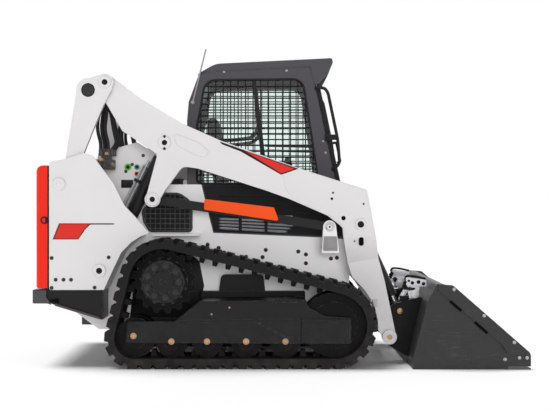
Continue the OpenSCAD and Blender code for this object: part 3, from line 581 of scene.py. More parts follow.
def coats(c):
    """Colour, share of that colour, roughness and the rest of each paint, moulding and metal."""
    return {
        "white_paint": (c.body, 1, 0.34, dict(
            coat=0.25, mottle=0.035, dust=0.22, dust_height=0.7, rub=0.22, rub_and_glint_colour=(0.55, 0.54, 0.53), grain=420,
            relief=0.06)),
        # Body paint made lighter for the main frame: painted light that lifts its side out of the shade of the arms
        # and towers
        "frame_paint_painted_light": ([min(x * 1.25, 0.87) for x in c.body], 1, 0.34, dict(
            coat=0.25, mottle=0.035, dust=0.12, dust_height=0.6, rub=0.22, rub_and_glint_colour=(0.6, 0.59, 0.58), grain=420,
            relief=0.06)),
        # Lighter rubbed edges on the black paint: wear, and also painted glints
        "black_paint": (c.black, 1, 0.36, dict(
            mottle=0.12, dust=0.1, dust_height=0.4, rub=0.75, rub_and_glint_colour=(0.17, 0.168, 0.165), rub_width=0.005,
            grain=520, relief=0.16, specular=0.22)),
        # Black paint darkened for the sprockets, rollers and idlers: painted shade for wheels inside the track loop;
        # its lighter rubbed edges are painted glints as well as wear
        "wheel_black_painted_shade": (c.black, 0.35, 0.5, dict(
            mottle=0.2, dust=0.06, dust_height=0.4, rub=0.75, rub_and_glint_colour=(0.16, 0.158, 0.155), rub_width=0.005,
            relief=0.3, specular=0.14)),
        "attach_black": (c.black, 0.6, 0.42, dict(
            mottle=0.15, dust=0.05, rub=0.5, rub_and_glint_colour=(0.1, 0.1, 0.1), relief=0.2, specular=0.18)),
        # Near-black plates laid where the holes, slots and pockets are: painted shade
        "painted_hole_shade": (c.black, 0.3, 0.85, dict(mottle=0.1, dust=0.0, rub=0.0, relief=0.1, specular=0.1)),
        "lever_zinc": (screen(226, 227, 231), 1, 0.3, dict(
            metallic=0.2, mottle=0.12, dust=0.03, rub=0.2, rub_and_glint_colour=(0.85, 0.85, 0.86), relief=0.1)),
        "link_paint": (c.black, 1, 0.36, dict(
            coat=0.05, mottle=0.08, dust=0.1, rub=0.45, rub_and_glint_colour=(0.14, 0.138, 0.135), relief=0.1, specular=0.25)),
        "cab_paint": (c.cab, 1, 0.45, dict(
            mottle=0.07, dust=0.05, rub=0.35, rub_and_glint_colour=(0.2, 0.195, 0.2), grain=600, relief=0.14, specular=0.3)),
        "moulded_trim": (c.trim, 1, 0.55, dict(
            mottle=0.1, dust=0.08, rub=0.25, rub_and_glint_colour=(0.07, 0.07, 0.07), grain=700, relief=0.35, specular=0.25)),
        # Lighter rubbed edges on the tracks: wear, and also painted glints
        "track_rubber": (c.rubber, 1, 0.7, dict(
            mottle=0.18, dust=0.14, dust_height=0.6, rub=0.6, rub_and_glint_colour=(0.105, 0.103, 0.1), rub_width=0.006,
            grain=260, relief=0.5, specular=0.18)),
        "hose_rubber": (c.rubber, 1, 0.55, dict(
            mottle=0.15, dust=0.05, rub=0.0, grain=900, relief=0.3, specular=0.3)),
        "red_paint": (c.red, 1, 0.32, dict(
            coat=0.04, mottle=0.06, dust=0.05, rub=0.25, rub_and_glint_colour=(0.62, 0.16, 0.11), relief=0.05, specular=0.25)),
        # Tailgate red darkened for the stripes: painted shade
        "red_film_painted_shade": (c.red, 0.78, 0.4, dict(mottle=0.06, dust=0.05, rub=0.0, relief=0.04)),
        "grey_paint": (screen(148, 145, 146), 1, 0.45, dict(mottle=0.1, dust=0.1, rub=0.3, relief=0.15)),
        "orange_paint": (c.orange, 1, 0.34, dict(
            coat=0.04, mottle=0.08, dust=0.05, rub=0.4, rub_and_glint_colour=(0.45, 0.2, 0.1), relief=0.07, specular=0.25)),
        "bucket_paint": (c.bucket, 1, 0.4, dict(
            mottle=0.1, dust=0.08, dust_height=0.2, rub=0.55, rub_and_glint_colour=(0.17, 0.168, 0.165), grain=480, relief=0.14,
            scuffs=0.22, specular=0.28)),
        "edge_steel": (c.steel, 1, 0.4, dict(
            metallic=0.8, mottle=0.2, dust=0.3, dust_height=0.1, rub=0.5, relief=0.25, scuffs=0.7)),
        "dark_steel": (c.steel, 0.2, 0.45, dict(
            metallic=0.35, mottle=0.2, dust=0.1, dust_height=0.5, rub=0.6, rub_and_glint_colour=(0.2, 0.2, 0.2), relief=0.3)),
        "cast_grey": (c.steel, 0.6, 0.6, dict(
            metallic=0.2, mottle=0.2, dust=0.1, rub=0.3, grain=240, relief=0.5)),
        "bright_rod": ((0.72, 0.73, 0.75), 1, 0.16, dict(
            metallic=1.0, mottle=0.06, dust=0.02, rub=0.1, rub_and_glint_colour=(0.5, 0.5, 0.5), grain=900, relief=0.04)),
        "bronze_pins": (c.bronze, 1, 0.36, dict(
            metallic=0.75, mottle=0.25, dust=0.1, rub=0.4, rub_and_glint_colour=(0.62, 0.5, 0.4), relief=0.12)),
        "zinc_plate": (c.zinc, 1, 0.33, dict(
            metallic=0.85, mottle=0.25, dust=0.1, rub=0.3, rub_and_glint_colour=(0.7, 0.7, 0.7), relief=0.12)),
        "green_cap": (screen(92, 184, 74), 1, 0.4, dict(mottle=0.1, rub=0.1, relief=0.1)),
        "teal_cap": (screen(20, 132, 112), 1, 0.4, dict(mottle=0.1, rub=0.1, relief=0.1)),
    }


def material(name):
    """One finish by name, made when it is first asked for."""
    if name not in FINISHES:
        if name == "cab_glass":
            made = cab_glass()
        elif name == "seat_cover":
            made = seat_cloth()
        elif name in LENSES:
            made = lamp_lens(name, LENSES[name])
        else:
            tint, share, rough, values = coats(bpy.context.scene.loader_colours)[name]
            made = coated(name, times(tint, share), rough, **values)
        FINISHES[name] = made
    return FINISHES[name]


NODE_FINISHES = {
    "frame_paint_painted_light": "main_frame",
    "white_paint": "tower_right tower_left rear_link_right rear_link_left link_cross_tube lift_arm_right "
                   "lift_arm_left arm_cross_beam",
    "black_paint": "rear_bumper track_mounts track_frame_right track_frame_left",
    "attach_black": "quick_attach",
    "link_paint": "control_links lift_barrels tilt_barrels",
    "cab_paint": "cab_frame cab_roof",
    "moulded_trim": "side_vents tailgate_grille engine_hood cab_door_frame side_screens grab_handles "
                    "control_consoles seat_base",
    "cab_glass": "cab_rear_window side_windows cab_door_glass",
    "seat_cover": "seat_cushion seat_back",
    "clear_lens": "work_lamps",
    "red_lens": "tail_lamps",
    "cast_grey": "engine_block",
    "grey_paint": "antenna",
    "track_rubber": "track_right track_left",
    "wheel_black_painted_shade": "sprockets rollers idlers",
    "red_paint": "tailgate_frame",
    "orange_paint": "arm_support",
    "bright_rod": "lift_rods tilt_rods tilt_pistons",
    "bronze_pins": "pivot_pins",
    "bucket_paint": "bucket",
    "edge_steel": "cutting_edge",
}


class LOADER_OT_finishes(bpy.types.Operator):
    """Give every CAD node its finish"""
    bl_idname = "loader.finishes"
    bl_label = "Finish CAD nodes"

    def execute(self, context):
        for finish, names in NODE_FINISHES.items():
            for name in names.split():
                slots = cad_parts[name].data.materials
                if not slots:
                    slots.append(None)
                for i in range(len(slots)):
                    slots[i] = material(finish)
        return {"FINISHED"}


class LOADER_OT_stripes(bpy.types.Operator):
    """Lay the red and black stripes on towers and arms"""
    bl_idname = "loader.stripes"
    bl_label = "Stripes"

    def execute(self, context):
        film = context.scene.loader_sizes.decal * 1000
        flash = rounded([(-1460, 951), (-1264, 951), (-1300, 915, 40), (-1340, 854), (-1499, 854)], 5)
        border = rounded([(-1466, 956), (-1100, 956), (-1100, 948), (-1258, 948), (-1292, 915, 44), (-1337, 849),
                          (-1508, 849)], 5)
        wedge = [(-236, 1444), (104, 1321), (11, 1290)]
        edge = [(-404, 1506), (-243, 1449), (121, 1324), (124, 1320), (11, 1281), (-262, 1438), (-386, 1486)]
        # The red stripes take the darker copy of the tailgate red, which is painted shade
        black, red = ("moulded_trim", "trim_black"), ("red_film_painted_shade", "gate_red")
        for name, body, outline, face, thick, (finish, slot) in (
            ("tower_stripe_black", "chassis", border, TOWER_FACE, film * 0.5, black),
            ("tower_stripe_red", "chassis", flash, TOWER_FACE, film, red),
            ("arm_stripe_black", "lift_arm", edge, ARM_FACE, film * 0.5, black),
            ("arm_stripe_red", "lift_arm", wedge, ARM_FACE, film, red),
        ):
            bm = bmesh.new()
            plate(bm, outline, face + 0.2, face - thick)
            keep_pair(name, bm, body, finish)
        return {"FINISHED"}


class LOADER_OT_arm_plates(bpy.types.Operator):
    """Add the arms' doubling plates and raised ridges, and dark plates of painted shade where their slot and holes are
    """
    bl_idname = "loader.arm_plates"
    bl_label = "Arm plates"

    def execute(self, context):
        bm = bmesh.new()
        outline = rounded([(24, 1284), (118, 1318), (380, 1238), (577, 1176, 16), (592, 1118), (640, 861), (436, 879),
                           (431, 930, 12), (404, 954, 20), (326, 1014, 60), (128, 1099, 30), (52, 1165, 60),
                           (30, 1225, 40)], 5)
        plate(bm, outline, ARM_FACE + 0.5, ARM_FACE - 3, 0.0012)
        ridge = rounded([(-716, 1562, 14), (-640, 1536, 90), (-540, 1496, 70), (-468, 1436, 24), (-500, 1396, 24),
                         (-580, 1416, 60), (-690, 1478, 20)], 6)
        plate(bm, ridge, ARM_FACE + 1, ARM_FACE - 8, 0.006)
        keep_pair("arm_doubling_plates", bm, "lift_arm", "white_paint")
        # Dark plates where the arm's slot and holes are: painted shade
        dark = bmesh.new()
        slot = rounded([(533, 862, 15), (566, 862, 15), (566, 804, 15), (533, 804, 15)], 6)
        plate(dark, slot, ARM_FACE + 3, ARM_FACE - 1)
        for x, z, r in ((430, 990, 15), (352, 1120, 9), (360, 1160, 7), (565, 1085, 7), (505, 835, 5)):
            disc(dark, at(x, ARM_FACE - 2, z), NEAR, r / 1000, 0.003, 20)
        keep_pair("arm_hole_shade", dark, "lift_arm", "painted_hole_shade")
        return {"FINISHED"}


class LOADER_OT_pin_ends(bpy.types.Operator):
    """Fit collars, locking bolts and caps on the pivot pins"""
    bl_idname = "loader.pin_ends"
    bl_label = "Pin ends"

    def execute(self, context):
        rows = {
            "chassis": [(-1466, 816, 1216, 40, 0), (-1198, 816, 641, 44, 18), (-1165, 788, 1897, 40, 17),
                        (340, 659, 930, 34, 12)],
            "lift_arm": [(-854, 721, 1116, 42, 16), (-772, 721, 1497, 42, 16), (546, 721, 948, 40, 20)],
        }
        for body, pins in rows.items():
            collars, cores = bmesh.new(), bmesh.new()
            for x, y, z, outer, core in pins:
                ring(collars, at(x, -y - 1.5, z), NEAR, outer / 1000, max(core, 12) / 1000 + 0.002, 0.007)
                if core:
                    disc(cores, at(x, -y - 1, z), NEAR, core / 1000 + 0.003, 0.004, 28)
                    disc(cores, at(x, -y - 4, z), NEAR, core / 1000 * 0.62, 0.008, 6, rim=0.0012)
                else:
                    disc(collars, at(x, -y - 2, z), NEAR, 0.016, 0.01, 28, rim=0.002)
            if body == "lift_arm":
                for dz in (-38, 38):
                    bolt(cores, at(-772, -721, 1497 + dz), NEAR, 0.008)
            keep_pair(f"pin_collars_{body}", collars, body, "white_paint")
            keep_pair(f"pin_cores_{body}", cores, body, "attach_black")
        plug = bmesh.new()
        disc(plug, at(-1277, -772, 1845), NEAR, 0.0405, 0.012, 36, rim=0.003)
        keep_pair("cross_tube_plugs", plug, "chassis", "dark_steel")
        eyes = bmesh.new()
        disc(eyes, at(823, -571, 354), NEAR, 0.02, 0.002, 28, rim=0.0005)
        disc(eyes, at(823, -572.5, 354), NEAR, 0.014, 0.002, 6, rim=0.0005)
        keep_pair("tilt_eye_bolts", eyes, "attachment", "bronze_pins")
        caps = bmesh.new()
        ring(caps, at(745, -657, 185), NEAR, 0.05, 0.017, 0.012)
        keep_pair("tool_pin_caps", caps, "lift_arm", "white_paint")
        return {"FINISHED"}


class LOADER_OT_panel_bolts(bpy.types.Operator):
    """Bolt down the body panels, the track frames and the cab"""
    bl_idname = "loader.panel_bolts"
    bl_label = "Panel bolts"

    def execute(self, context):
        sizes = context.scene.loader_sizes
        bm = bmesh.new()
        for x, z in ((-496, 804), (-420, 781), (-382, 749), (-230, 720), (-116, 717), (-94, 767), (131, 756),
                     (184, 736), (184, 675), (357, 708), (398, 713)):
            bolt(bm, at(x, BODY_FACE, z), NEAR, sizes.bolt)
        for x, z in ((-1515, 725), (-1136, 730), (-1488, 581), (-1436, 581), (-1386, 581), (-1515, 527), (-1229, 529)):
            bolt(bm, at(x, TOWER_FACE, z), NEAR, sizes.bolt * 0.9)
        keep_pair("panel_bolts", bm, "chassis", "dark_steel")
        bm = bmesh.new()
        for x, z in ((-384, 2002), (50, 2010), (304, 1520), (320, 1440)):
            bolt(bm, at(x, CAB_FACE, z), NEAR, sizes.bolt * 0.65)
        keep_pair("cab_bolts", bm, "chassis", "zinc_plate")
        bm = bmesh.new()
        for x, z in ((-963, 215), (-713, 178), (-478, 178), (-220, 178), (39, 178)):
            bolt(bm, at(x, TRACK_FRAME_FACE - 2, z), NEAR, sizes.axle_bolt)
        for x, z in ((-448, 358), (-330, 402)):
            bolt(bm, at(x, TRACK_FRAME_FACE, z), NEAR, sizes.axle_bolt * 0.5)
        keep_pair("track_frame_bolts", bm, "chassis", "bronze_pins")
        return {"FINISHED"}


class LOADER_OT_hub_bolts(bpy.types.Operator):
    """Cover each drive hub and ring it with bolts"""
    bl_idname = "loader.hub_bolts"
    bl_label = "Hub bolts"

    def execute(self, context):
        sizes = context.scene.loader_sizes
        covers, bolts = bmesh.new(), bmesh.new()
        for i in range(sizes.hub_bolts):
            bolt(bolts, hub_at(-868, math.tau * i / sizes.hub_bolts, 106), NEAR, sizes.hub_bolt)
        disc(covers, hub_at(-865.5), NEAR, 0.143, 0.003, 64, rim=0.001)
        ring(covers, hub_at(-866), NEAR, 0.142, 0.13, 0.01, 64)
        ring(covers, hub_at(-866), NEAR, 0.08, 0.072, 0.006, 48)
        disc(covers, hub_at(-878), NEAR, 0.071, 0.004, 48, rim=0.001)
        disc(covers, hub_at(-881), NEAR, 0.02, 0.008, 6, rim=0.0015)
        for a in range(0, 360, 24):
            bolt(bolts, hub_at(-805, math.radians(a + 6), 152), NEAR, 0.007)
        keep_pair("drive_hub_covers", covers, "chassis", "black_paint")
        keep_pair("drive_hub_bolts", bolts, "chassis", "dark_steel")
        return {"FINISHED"}


class LOADER_OT_track_frame_plates(bpy.types.Operator):
    """Add the track frames' folded side plates and ribs"""
    bl_idname = "loader.track_frame_plates"
    bl_label = "Track frame plates"

    def execute(self, context):
        bm = bmesh.new()
        lower = rounded([(-1000, 303, 16), (-1006, 176, 16), (140, 169), (146, 310), (-688, 303, 14)], 5)
        plate(bm, lower, TRACK_FRAME_FACE + 0.5, TRACK_FRAME_FACE - 4, 0.0015)
        upper = rounded([(-660, 318), (150, 322), (188, 398, 14), (160, 447, 12), (-518, 437, 18)], 5)
        plate(bm, upper, TRACK_FRAME_FACE + 0.5, TRACK_FRAME_FACE - 2, 0.001)
        add_bar(bm, [at(-154, -884, 309), at(39, -884, 203), at(128, -884, 200)], 0.005)
        plate(bm, rounded([(165, 190, 8), (447, 190, 8), (447, 308, 8), (165, 308, 8)], 4), -897.5, -900, 0.001)
        block(bm, (-30, -890, 436), (110, -862, 462), 3)
        back = rounded([(-1040, 250, 40), (-1000, 560, 60), (-900, 735, 60), (-770, 785, 60), (-640, 760, 60),
                        (-552, 690, 50), (-520, 520, 40), (-545, 400, 40), (-660, 250, 30)], 5)
        plate(bm, back, BODY_FACE - 0.5, BODY_FACE - 12, 0.002)
        keep_pair("track_frame_plates", bm, "chassis", "black_paint")
        return {"FINISHED"}


class LOADER_OT_bucket_fittings(bpy.types.Operator):
    """Add the bucket's cutter bolts and weld lines, and dark strips of painted shade where its slots are"""
    bl_idname = "loader.bucket_fittings"
    bl_label = "Bucket fittings"

    def execute(self, context):
        bm = bmesh.new()
        for x, z in ((1143, 526), (1340, 354), (1537, 179), (1478, 66), (1570, 78), (1620, 78)):
            raised = z > 100 or x > 1500
            bolt(bm, at(x, BUCKET_FACE if raised else BUCKET_FACE + 12, z), NEAR, 0.008)
        keep_pair("bucket_bolts", bm, "attachment", "zinc_plate")
        # Dark strips where the bucket's slots are: painted shade
        dark = bmesh.new()
        for x0, z0, x1, z1 in ((1117, 449, 1191, 385), (1278, 312, 1361, 239)):
            along = Vector((x1 - x0, z1 - z0)).normalized()
            side = Vector((-along.y, along.x)) * 9
            a, b = Vector((x0, z0)), Vector((x1, z1))
            plate(dark, [a + side, a - side, b - side, b + side], BUCKET_FACE - 1.5, BUCKET_FACE + 3)
        keep_pair("bucket_slot_shade", dark, "attachment", "painted_hole_shade")
        weld = bmesh.new()
        add_bar(weld, [at(x, BUCKET_FACE + 10, z) for x, z in ((1042, 519), (1455, 164), (1478, 104))], 0.004)
        keep_pair("bucket_welds", weld, "attachment", "bucket_paint")
        return {"FINISHED"}


class LOADER_OT_lock_levers(bpy.types.Operator):
    """Build the quick attach's locking levers and their fittings"""
    bl_idname = "loader.lock_levers"
    bl_label = "Lock levers"

    def execute(self, context):
        bm = bmesh.new()
        plate(bm, rounded([(862, 585, 10), (1004, 566, 8), (1006, 520, 8), (868, 524, 10)], 5), -568, -558, 0.001)
        plate(bm, rounded([(900, 440, 8), (948, 452, 8), (962, 530), (902, 530)], 4), -562, -550, 0.001)
        plate(bm, rounded([(868, 524), (900, 524), (908, 440), (888, 440, 8)], 4), -562, -554, 0.001)
        disc(bm, at(926, -545, 470), NEAR, 0.03, 0.05, 32, rim=0.003)
        for x, z in ((838, 452), (858, 486)):
            disc(bm, at(x, -545, z), (0.5, -0.2, 1), 0.017, 0.05, 6, rim=0.002)
            disc(bm, at(x + 8, -549, z + 20), (0.5, -0.2, 1), 0.012, 0.05, 24, rim=0.002)
        keep_pair("lock_levers", bm, "attachment", "lever_zinc")
        bm = bmesh.new()
        path = [(x, -552, z) for x, z in ((1000, 574), (940, 588), (890, 594), (868, 592), (858, 566))]
        add_bar(bm, bent(path, 16), 0.008)
        for x, z, r in ((884, 560, 0.009), (908, 546, 0.012), (950, 552, 0.013), (984, 540, 0.012)):
            disc(bm, at(x, -569, z), NEAR, r, 0.005, 24, rim=0.001)
        for x, z in ((864, 548), (858, 526), (872, 508), (892, 504)):
            disc(bm, at(x, -552, z), (0.6, -0.4, 0.7), 0.016, 0.03, 6, rim=0.002)
        plate(bm, rounded([(836, 520, 8), (930, 512, 8), (926, 496, 6), (850, 500, 8)], 4), -569, -562, 0.001)
        block(bm, (822, -566, 420), (884, -526, 458), 3)
        keep_pair("lock_lever_fittings", bm, "attachment", "attach_black")
        return {"FINISHED"}


class LOADER_OT_grab_handles(bpy.types.Operator):
    """Bend the round grab handles beside the cab door"""
    bl_idname = "loader.grab_handles"
    bl_label = "Grab handles"

    def execute(self, context):
        radius = context.scene.loader_sizes.handle
        bm = bmesh.new()
        path = [(262, CAB_FACE, 1888), (262, -457, 1888), (312, -457, 1888), (336, -457, 1856), (404, -457, 1530),
                (417, -457, 1365), (378, -457, 1328), (378, CAB_FACE, 1328)]
        add_bar(bm, bent(path, 26), radius, 4)
        for x, z in ((262, 1888), (378, 1328)):
            disc(bm, at(x, -433, z), NEAR, 0.019, 0.006, 28, rim=0.0015)
        block(bm, (330, -462, 1528), (398, -436, 1566), 4)
        block(bm, (316, -446, 1520), (352, -429, 1574), 3)
        piece = keep_pair("grab_handle_bars", bm, "chassis", "moulded_trim")
        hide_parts("grab_handles")
        return {"FINISHED"}


def span(outline, axis, value):
    """Lowest and highest place where a straight line crosses an outline."""
    hits = []
    for a, b in zip(outline, outline[1:] + outline[:1]):
        if (a[axis] - value) * (b[axis] - value) < 0:
            t = (value - a[axis]) / (b[axis] - a[axis])
            hits.append(a[1 - axis] + (b[1 - axis] - a[1 - axis]) * t)
    return min(hits), max(hits)


def spaced(first, last, step):
    """Places from the first on, a step apart, below the last."""
    places = []
    while first < last:
        places.append(first)
        first += step
    return places


def wires(bm, outline, axis, places, y, radius):
    """Straight wires across an outline in millimetres, upright for axis 0 and level for axis 1."""
    for place in places:
        low, high = span(outline, axis, place)
        middle = (low + high) / 2
        centre = at(middle, y, place) if axis else at(place, y, middle)
        disc(bm, centre, FORE if axis else UP, radius, (high - low) / 1000, 6)


class LOADER_OT_window_screens(bpy.types.Operator):
    """Weave the wire screens and rims of the side windows"""
    bl_idname = "loader.window_screens"
    bl_label = "Window screens"

    def execute(self, context):
        sizes = context.scene.loader_sizes
        outline = rounded(WINDOW, 6)
        bm = bmesh.new()
        wires(bm, outline, 0, spaced(-572 + sizes.cell_x * 500, 255, sizes.cell_x * 1000), -418, sizes.wire)
        wires(bm, outline, 1, spaced(1225 + sizes.cell_z * 500, 1940, sizes.cell_z * 1000), -420, sizes.wire)
        rim_inside(bm, [at(p[0], -416.5, p[1]) for p in outline], 0.02, at(0, -5, 0))
        piece = keep_pair("window_screen_mesh", bm, "chassis", "moulded_trim")
        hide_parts("side_screens")
        return {"FINISHED"}


class LOADER_OT_vent_mesh(bpy.types.Operator):
    """Lay a welded wire mesh over the side vents"""
    bl_idname = "loader.vent_mesh"
    bl_label = "Vent mesh"

    def execute(self, context):
        outline = rounded([(-886, 898, 40), (-608, 898, 30), (-608, 1094, 90), (-692, 1155, 90), (-828, 1155, 90),
                           (-945, 1038, 60), (-931, 964, 40)], 5)
        bm = bmesh.new()
        wires(bm, outline, 0, range(-924, -584, 34), -470, 0.0035)
        wires(bm, outline, 1, range(916, 1154, 34), -471, 0.0035)
        rim = [at(p[0], -469, p[1]) for p in outline]
        add_bar(bm, rim + rim[:1], 0.005)
        keep_pair("vent_mesh", bm, "chassis", "cast_grey")
        return {"FINISHED"}


class LOADER_OT_cab_trim(bpy.types.Operator):
    """Fit window seals, sliding window posts, lower side panels and roof trim to the cab"""
    bl_idname = "loader.cab_trim"
    bl_label = "Cab trim"

    def execute(self, context):
        bm = bmesh.new()
        seal = [at(p[0], CAB_FACE + 1, p[1]) for p in rounded(WINDOW, 8)]
        add_bar(bm, seal + seal[:1], 0.007)
        post = [(-190, 1950), (-164, 1950), (-78, 1228), (-108, 1228)]
        plate(bm, post, -424, -414, 0.001)
        plate(bm, [(-100, 1500), (232, 1492), (235, 1474), (-98, 1482)], -424, -416, 0.001)
        keep_pair("window_seals", bm, "chassis", "hose_rubber")
        low = bmesh.new()
        panel = rounded([(-530, 1216, 10), (445, 1216, 10), (452, 862), (336, 862), (-452, 893)], 4)
        plate(low, panel, CAB_FACE - 0.5, CAB_FACE - 6, 0.0015)
        for drop in range(0, 240, 60):
            slat = [(-420, 1150 - drop), (330, 1140 - drop), (330, 1128 - drop), (-420, 1138 - drop)]
            plate(low, slat, CAB_FACE - 5, CAB_FACE - 11, 0.001)
        keep_pair("cab_lower_panels", low, "chassis", "moulded_trim")
        roof = bmesh.new()
        for y in (-430.2, -431):
            add_bar(roof, [at(-560, y, 1986), at(-500, y, 2004), at(215, y, 2038), at(238, y, 1944)], 0.0035)
        mirrored(roof)
        for y in (-250, 0, 250):
            block(roof, (-380, y - 75, 2054), (120, y + 75, 2079), 7, Matrix.Rotation(math.radians(-2.76), 4, "Y"))
        keep("cab_roof_ribs", roof, "chassis", "cab_paint")
        return {"FINISHED"}


class LOADER_OT_door_trim(bpy.types.Operator):
    """Put a handle, a wiper and hinge bolts on the cab door"""
    bl_idname = "loader.door_trim"
    bl_label = "Door trim"

    def execute(self, context):
        bm = bmesh.new()
        add_bar(bm, bent([(40, -360, 470), (66, -360, 470), (66, -360, 610), (40, -360, 610)], 20), 0.009)
        add_bar(bm, bent([(36, 0, 930), (48, 0, 930), (48, -120, 560)], 16), 0.005)
        block(bm, (38, -172, 400), (46, -150, 760), 2)
        disc(bm, at(42, 0, 930), FORE, 0.022, 0.018, 24, rim=0.002)
        for z in (80, 120, 740, 780):
            bolt(bm, at(34, 366, z), FORE, 0.007)
        bmesh.ops.transform(bm, matrix=door_turn(), verts=bm.verts[:])
        keep("cab_door_fittings", bm, "cab_door", "moulded_trim")
        return {"FINISHED"}


class LOADER_OT_lamps(bpy.types.Operator):
    """Give the work lamps and the tail lamps their bezels"""
    bl_idname = "loader.lamps"
    bl_label = "Lamp bezels"

    def execute(self, context):
        bm = bmesh.new()
        ring(bm, at(58, -300, 1100), FORE, 0.042, 0.032, 0.012)
        ring(bm, at(30, -300, 1100), FORE, 0.04, 0.035, 0.02)
        bmesh.ops.transform(bm, matrix=door_turn(), verts=bm.verts[:])
        keep_pair("work_lamp_bezels", bm, "chassis", "moulded_trim")
        bm = bmesh.new()
        for y in (590, 680):
            block(bm, (-1631, -y - 4, 1122), (-1624, -y + 4, 1248), 1.5)
        for z in (1126, 1244):
            block(bm, (-1630.5, -681, z - 3.5), (-1624.5, -589, z + 3.5), 1.5)
        keep_pair("tail_lamp_bezels", bm, "rear_door", "moulded_trim")
        return {"FINISHED"}


class LOADER_OT_tailgate_trim(bpy.types.Operator):
    """Add the tailgate's seal, latch and grille rim"""
    bl_idname = "loader.tailgate_trim"
    bl_label = "Tailgate trim"

    def execute(self, context):
        bm = bmesh.new()
        for y0, y1 in ((-795, -772), (726, 749)):
            block(bm, (-1545.5, y0 + 0.5, 530), (-1537.5, y1 - 0.5, 1322), 2)
        block(bm, (-1546, -795, 1316), (-1537, 749, 1336), 2)
        ring(bm, at(-1565, -796, 977), NEAR, 0.026, 0.015, 0.006, 32)
        block(bm, (-1560, -799, 958), (-1545, -794, 996), 1.5)
        keep("tailgate_seal", bm, "rear_door", "hose_rubber")
        bm = bmesh.new()
        corners = ((-523, 587), (523, 587), (523, 1273), (-523, 1273))
        rim_inside(bm, [at(-1623, y, z) for y, z in corners], 0.012, at(-4, 0, 0))
        for z in (560, 1305):
            for y in (-600, -200, 200, 600):
                bolt(bm, at(-1625, y, z), AFT, 0.009)
        keep("tailgate_grille_rim", bm, "rear_door", "moulded_trim")
        return {"FINISHED"}


class LOADER_OT_bumper_plates(bpy.types.Operator):
    """Add the end plates to the bumper, and dark plates of painted shade where its tie-down pockets are"""
    bl_idname = "loader.bumper_plates"
    bl_label = "Bumper plates"

    def execute(self, context):
        ends, pockets = bmesh.new(), bmesh.new()
        corner = [(-1645, 424), (-1556, 424), (-1520, 412), (-1556, 468), (-1552, 509), (-1645, 509)]
        strip = [(-1500, 407), (-1196, 315), (-1196, 330), (-1494, 421)]
        # Dark plate where the tie-down pocket is: painted shade
        pocket = [(-1544, 442), (-1474, 456), (-1474, 424)]
        plate(ends, corner, BUMPER_FACE, BUMPER_FACE - 5, 0.001)
        plate(ends, strip, BUMPER_FACE, BUMPER_FACE - 4, 0.001)
        plate(pockets, pocket, BUMPER_FACE, BUMPER_FACE - 3)
        keep_pair("bumper_plates", ends, "chassis", "cab_paint")
        keep_pair("bumper_pocket_shade", pockets, "chassis", "painted_hole_shade")
        return {"FINISHED"}


def radiator():
    """Radiator with its side tanks and fins."""
    bm = bmesh.new()
    block(bm, (-1416, -282, 428), (-1388, 282, 1000), 5)
    for y in (-262, 262):
        block(bm, (-1428, y - 20, 428), (-1414, y + 20, 1000), 3)
    for k in range(18):
        z = 446 + k * 31
        block(bm, (-1420, -240, z), (-1412, 240, z + 8), 1)
    keep("radiator", bm, "chassis", "cast_grey")


def fan():
    """Cooling fan in its guarded shroud."""
    hub = at(-1440, 0, 715)
    bm = bmesh.new()
    ring(bm, hub, AFT, 0.258, 0.24, 0.06, 48)
    for k in range(5):
        ring(bm, hub + at(-34, 0, 0), AFT, 0.24 - k * 0.045, 0.234 - k * 0.045, 0.006, 48)
    for k in range(4):
        turn = Matrix.Rotation(math.radians(45 * k), 3, "X")
        add_bar(bm, [hub + at(-38, 0, 0) + turn @ at(0, 0, z) for z in (-246, 246)], 0.003)
    keep("fan_shroud", bm, "chassis", "moulded_trim")
    bm = bmesh.new()
    disc(bm, hub + at(-4, 0, 0), AFT, 0.062, 0.04, 36, top=0.05, rim=0.005)
    for k in range(7):
        place = (Matrix.Translation(hub) @ Matrix.Rotation(math.tau * k / 7, 4, "X")
                 @ Matrix.Translation((0, 0, 0.14)) @ Matrix.Rotation(math.radians(28), 4, "Z")
                 @ Matrix.Diagonal((0.005, 0.082, 0.17, 1)))
        made = bmesh.ops.create_cube(bm, size=1, matrix=place)
        bmesh.ops.bevel(bm, geom=edges_at(made["verts"]), offset=0.002, segments=1, profile=0.5, affect="EDGES",
                        material=-1)
    keep("cooling_fan", bm, "chassis", "grey_paint")


def engine_covers():
    """Valve cover with filler cap, and the silencer with its pipe."""
    bm = bmesh.new()
    block(bm, (-1330, -150, 1006), (-930, 100, 1062), 14)
    for k in range(6):
        block(bm, (-1305 + k * 64, -140, 1056), (-1291 + k * 64, 90, 1070), 4)
    disc(bm, at(-1236, 40, 1076), UP, 0.032, 0.034, 12, top=0.028, rim=0.004)
    for x in (-1310, -1130, -950):
        for y in (-158, 108):
            bolt(bm, at(x, y, 1010), UP, 0.009)
    disc(bm, at(-1110, -225, 1096), FORE, 0.075, 0.44, 40, rim=0.018)
    for x in (-1240, -980):
        ring(bm, at(x, -225, 1096), FORE, 0.08, 0.074, 0.026, 40)
        block(bm, (x - 14, -262, 1006), (x + 14, -188, 1030), 3)
    add_bar(bm, bent([(-892, -225, 1096), (-836, -225, 1096), (-836, -225, 1008)], 50), 0.026, 5)
    keep("engine_covers", bm, "chassis", "grey_paint")


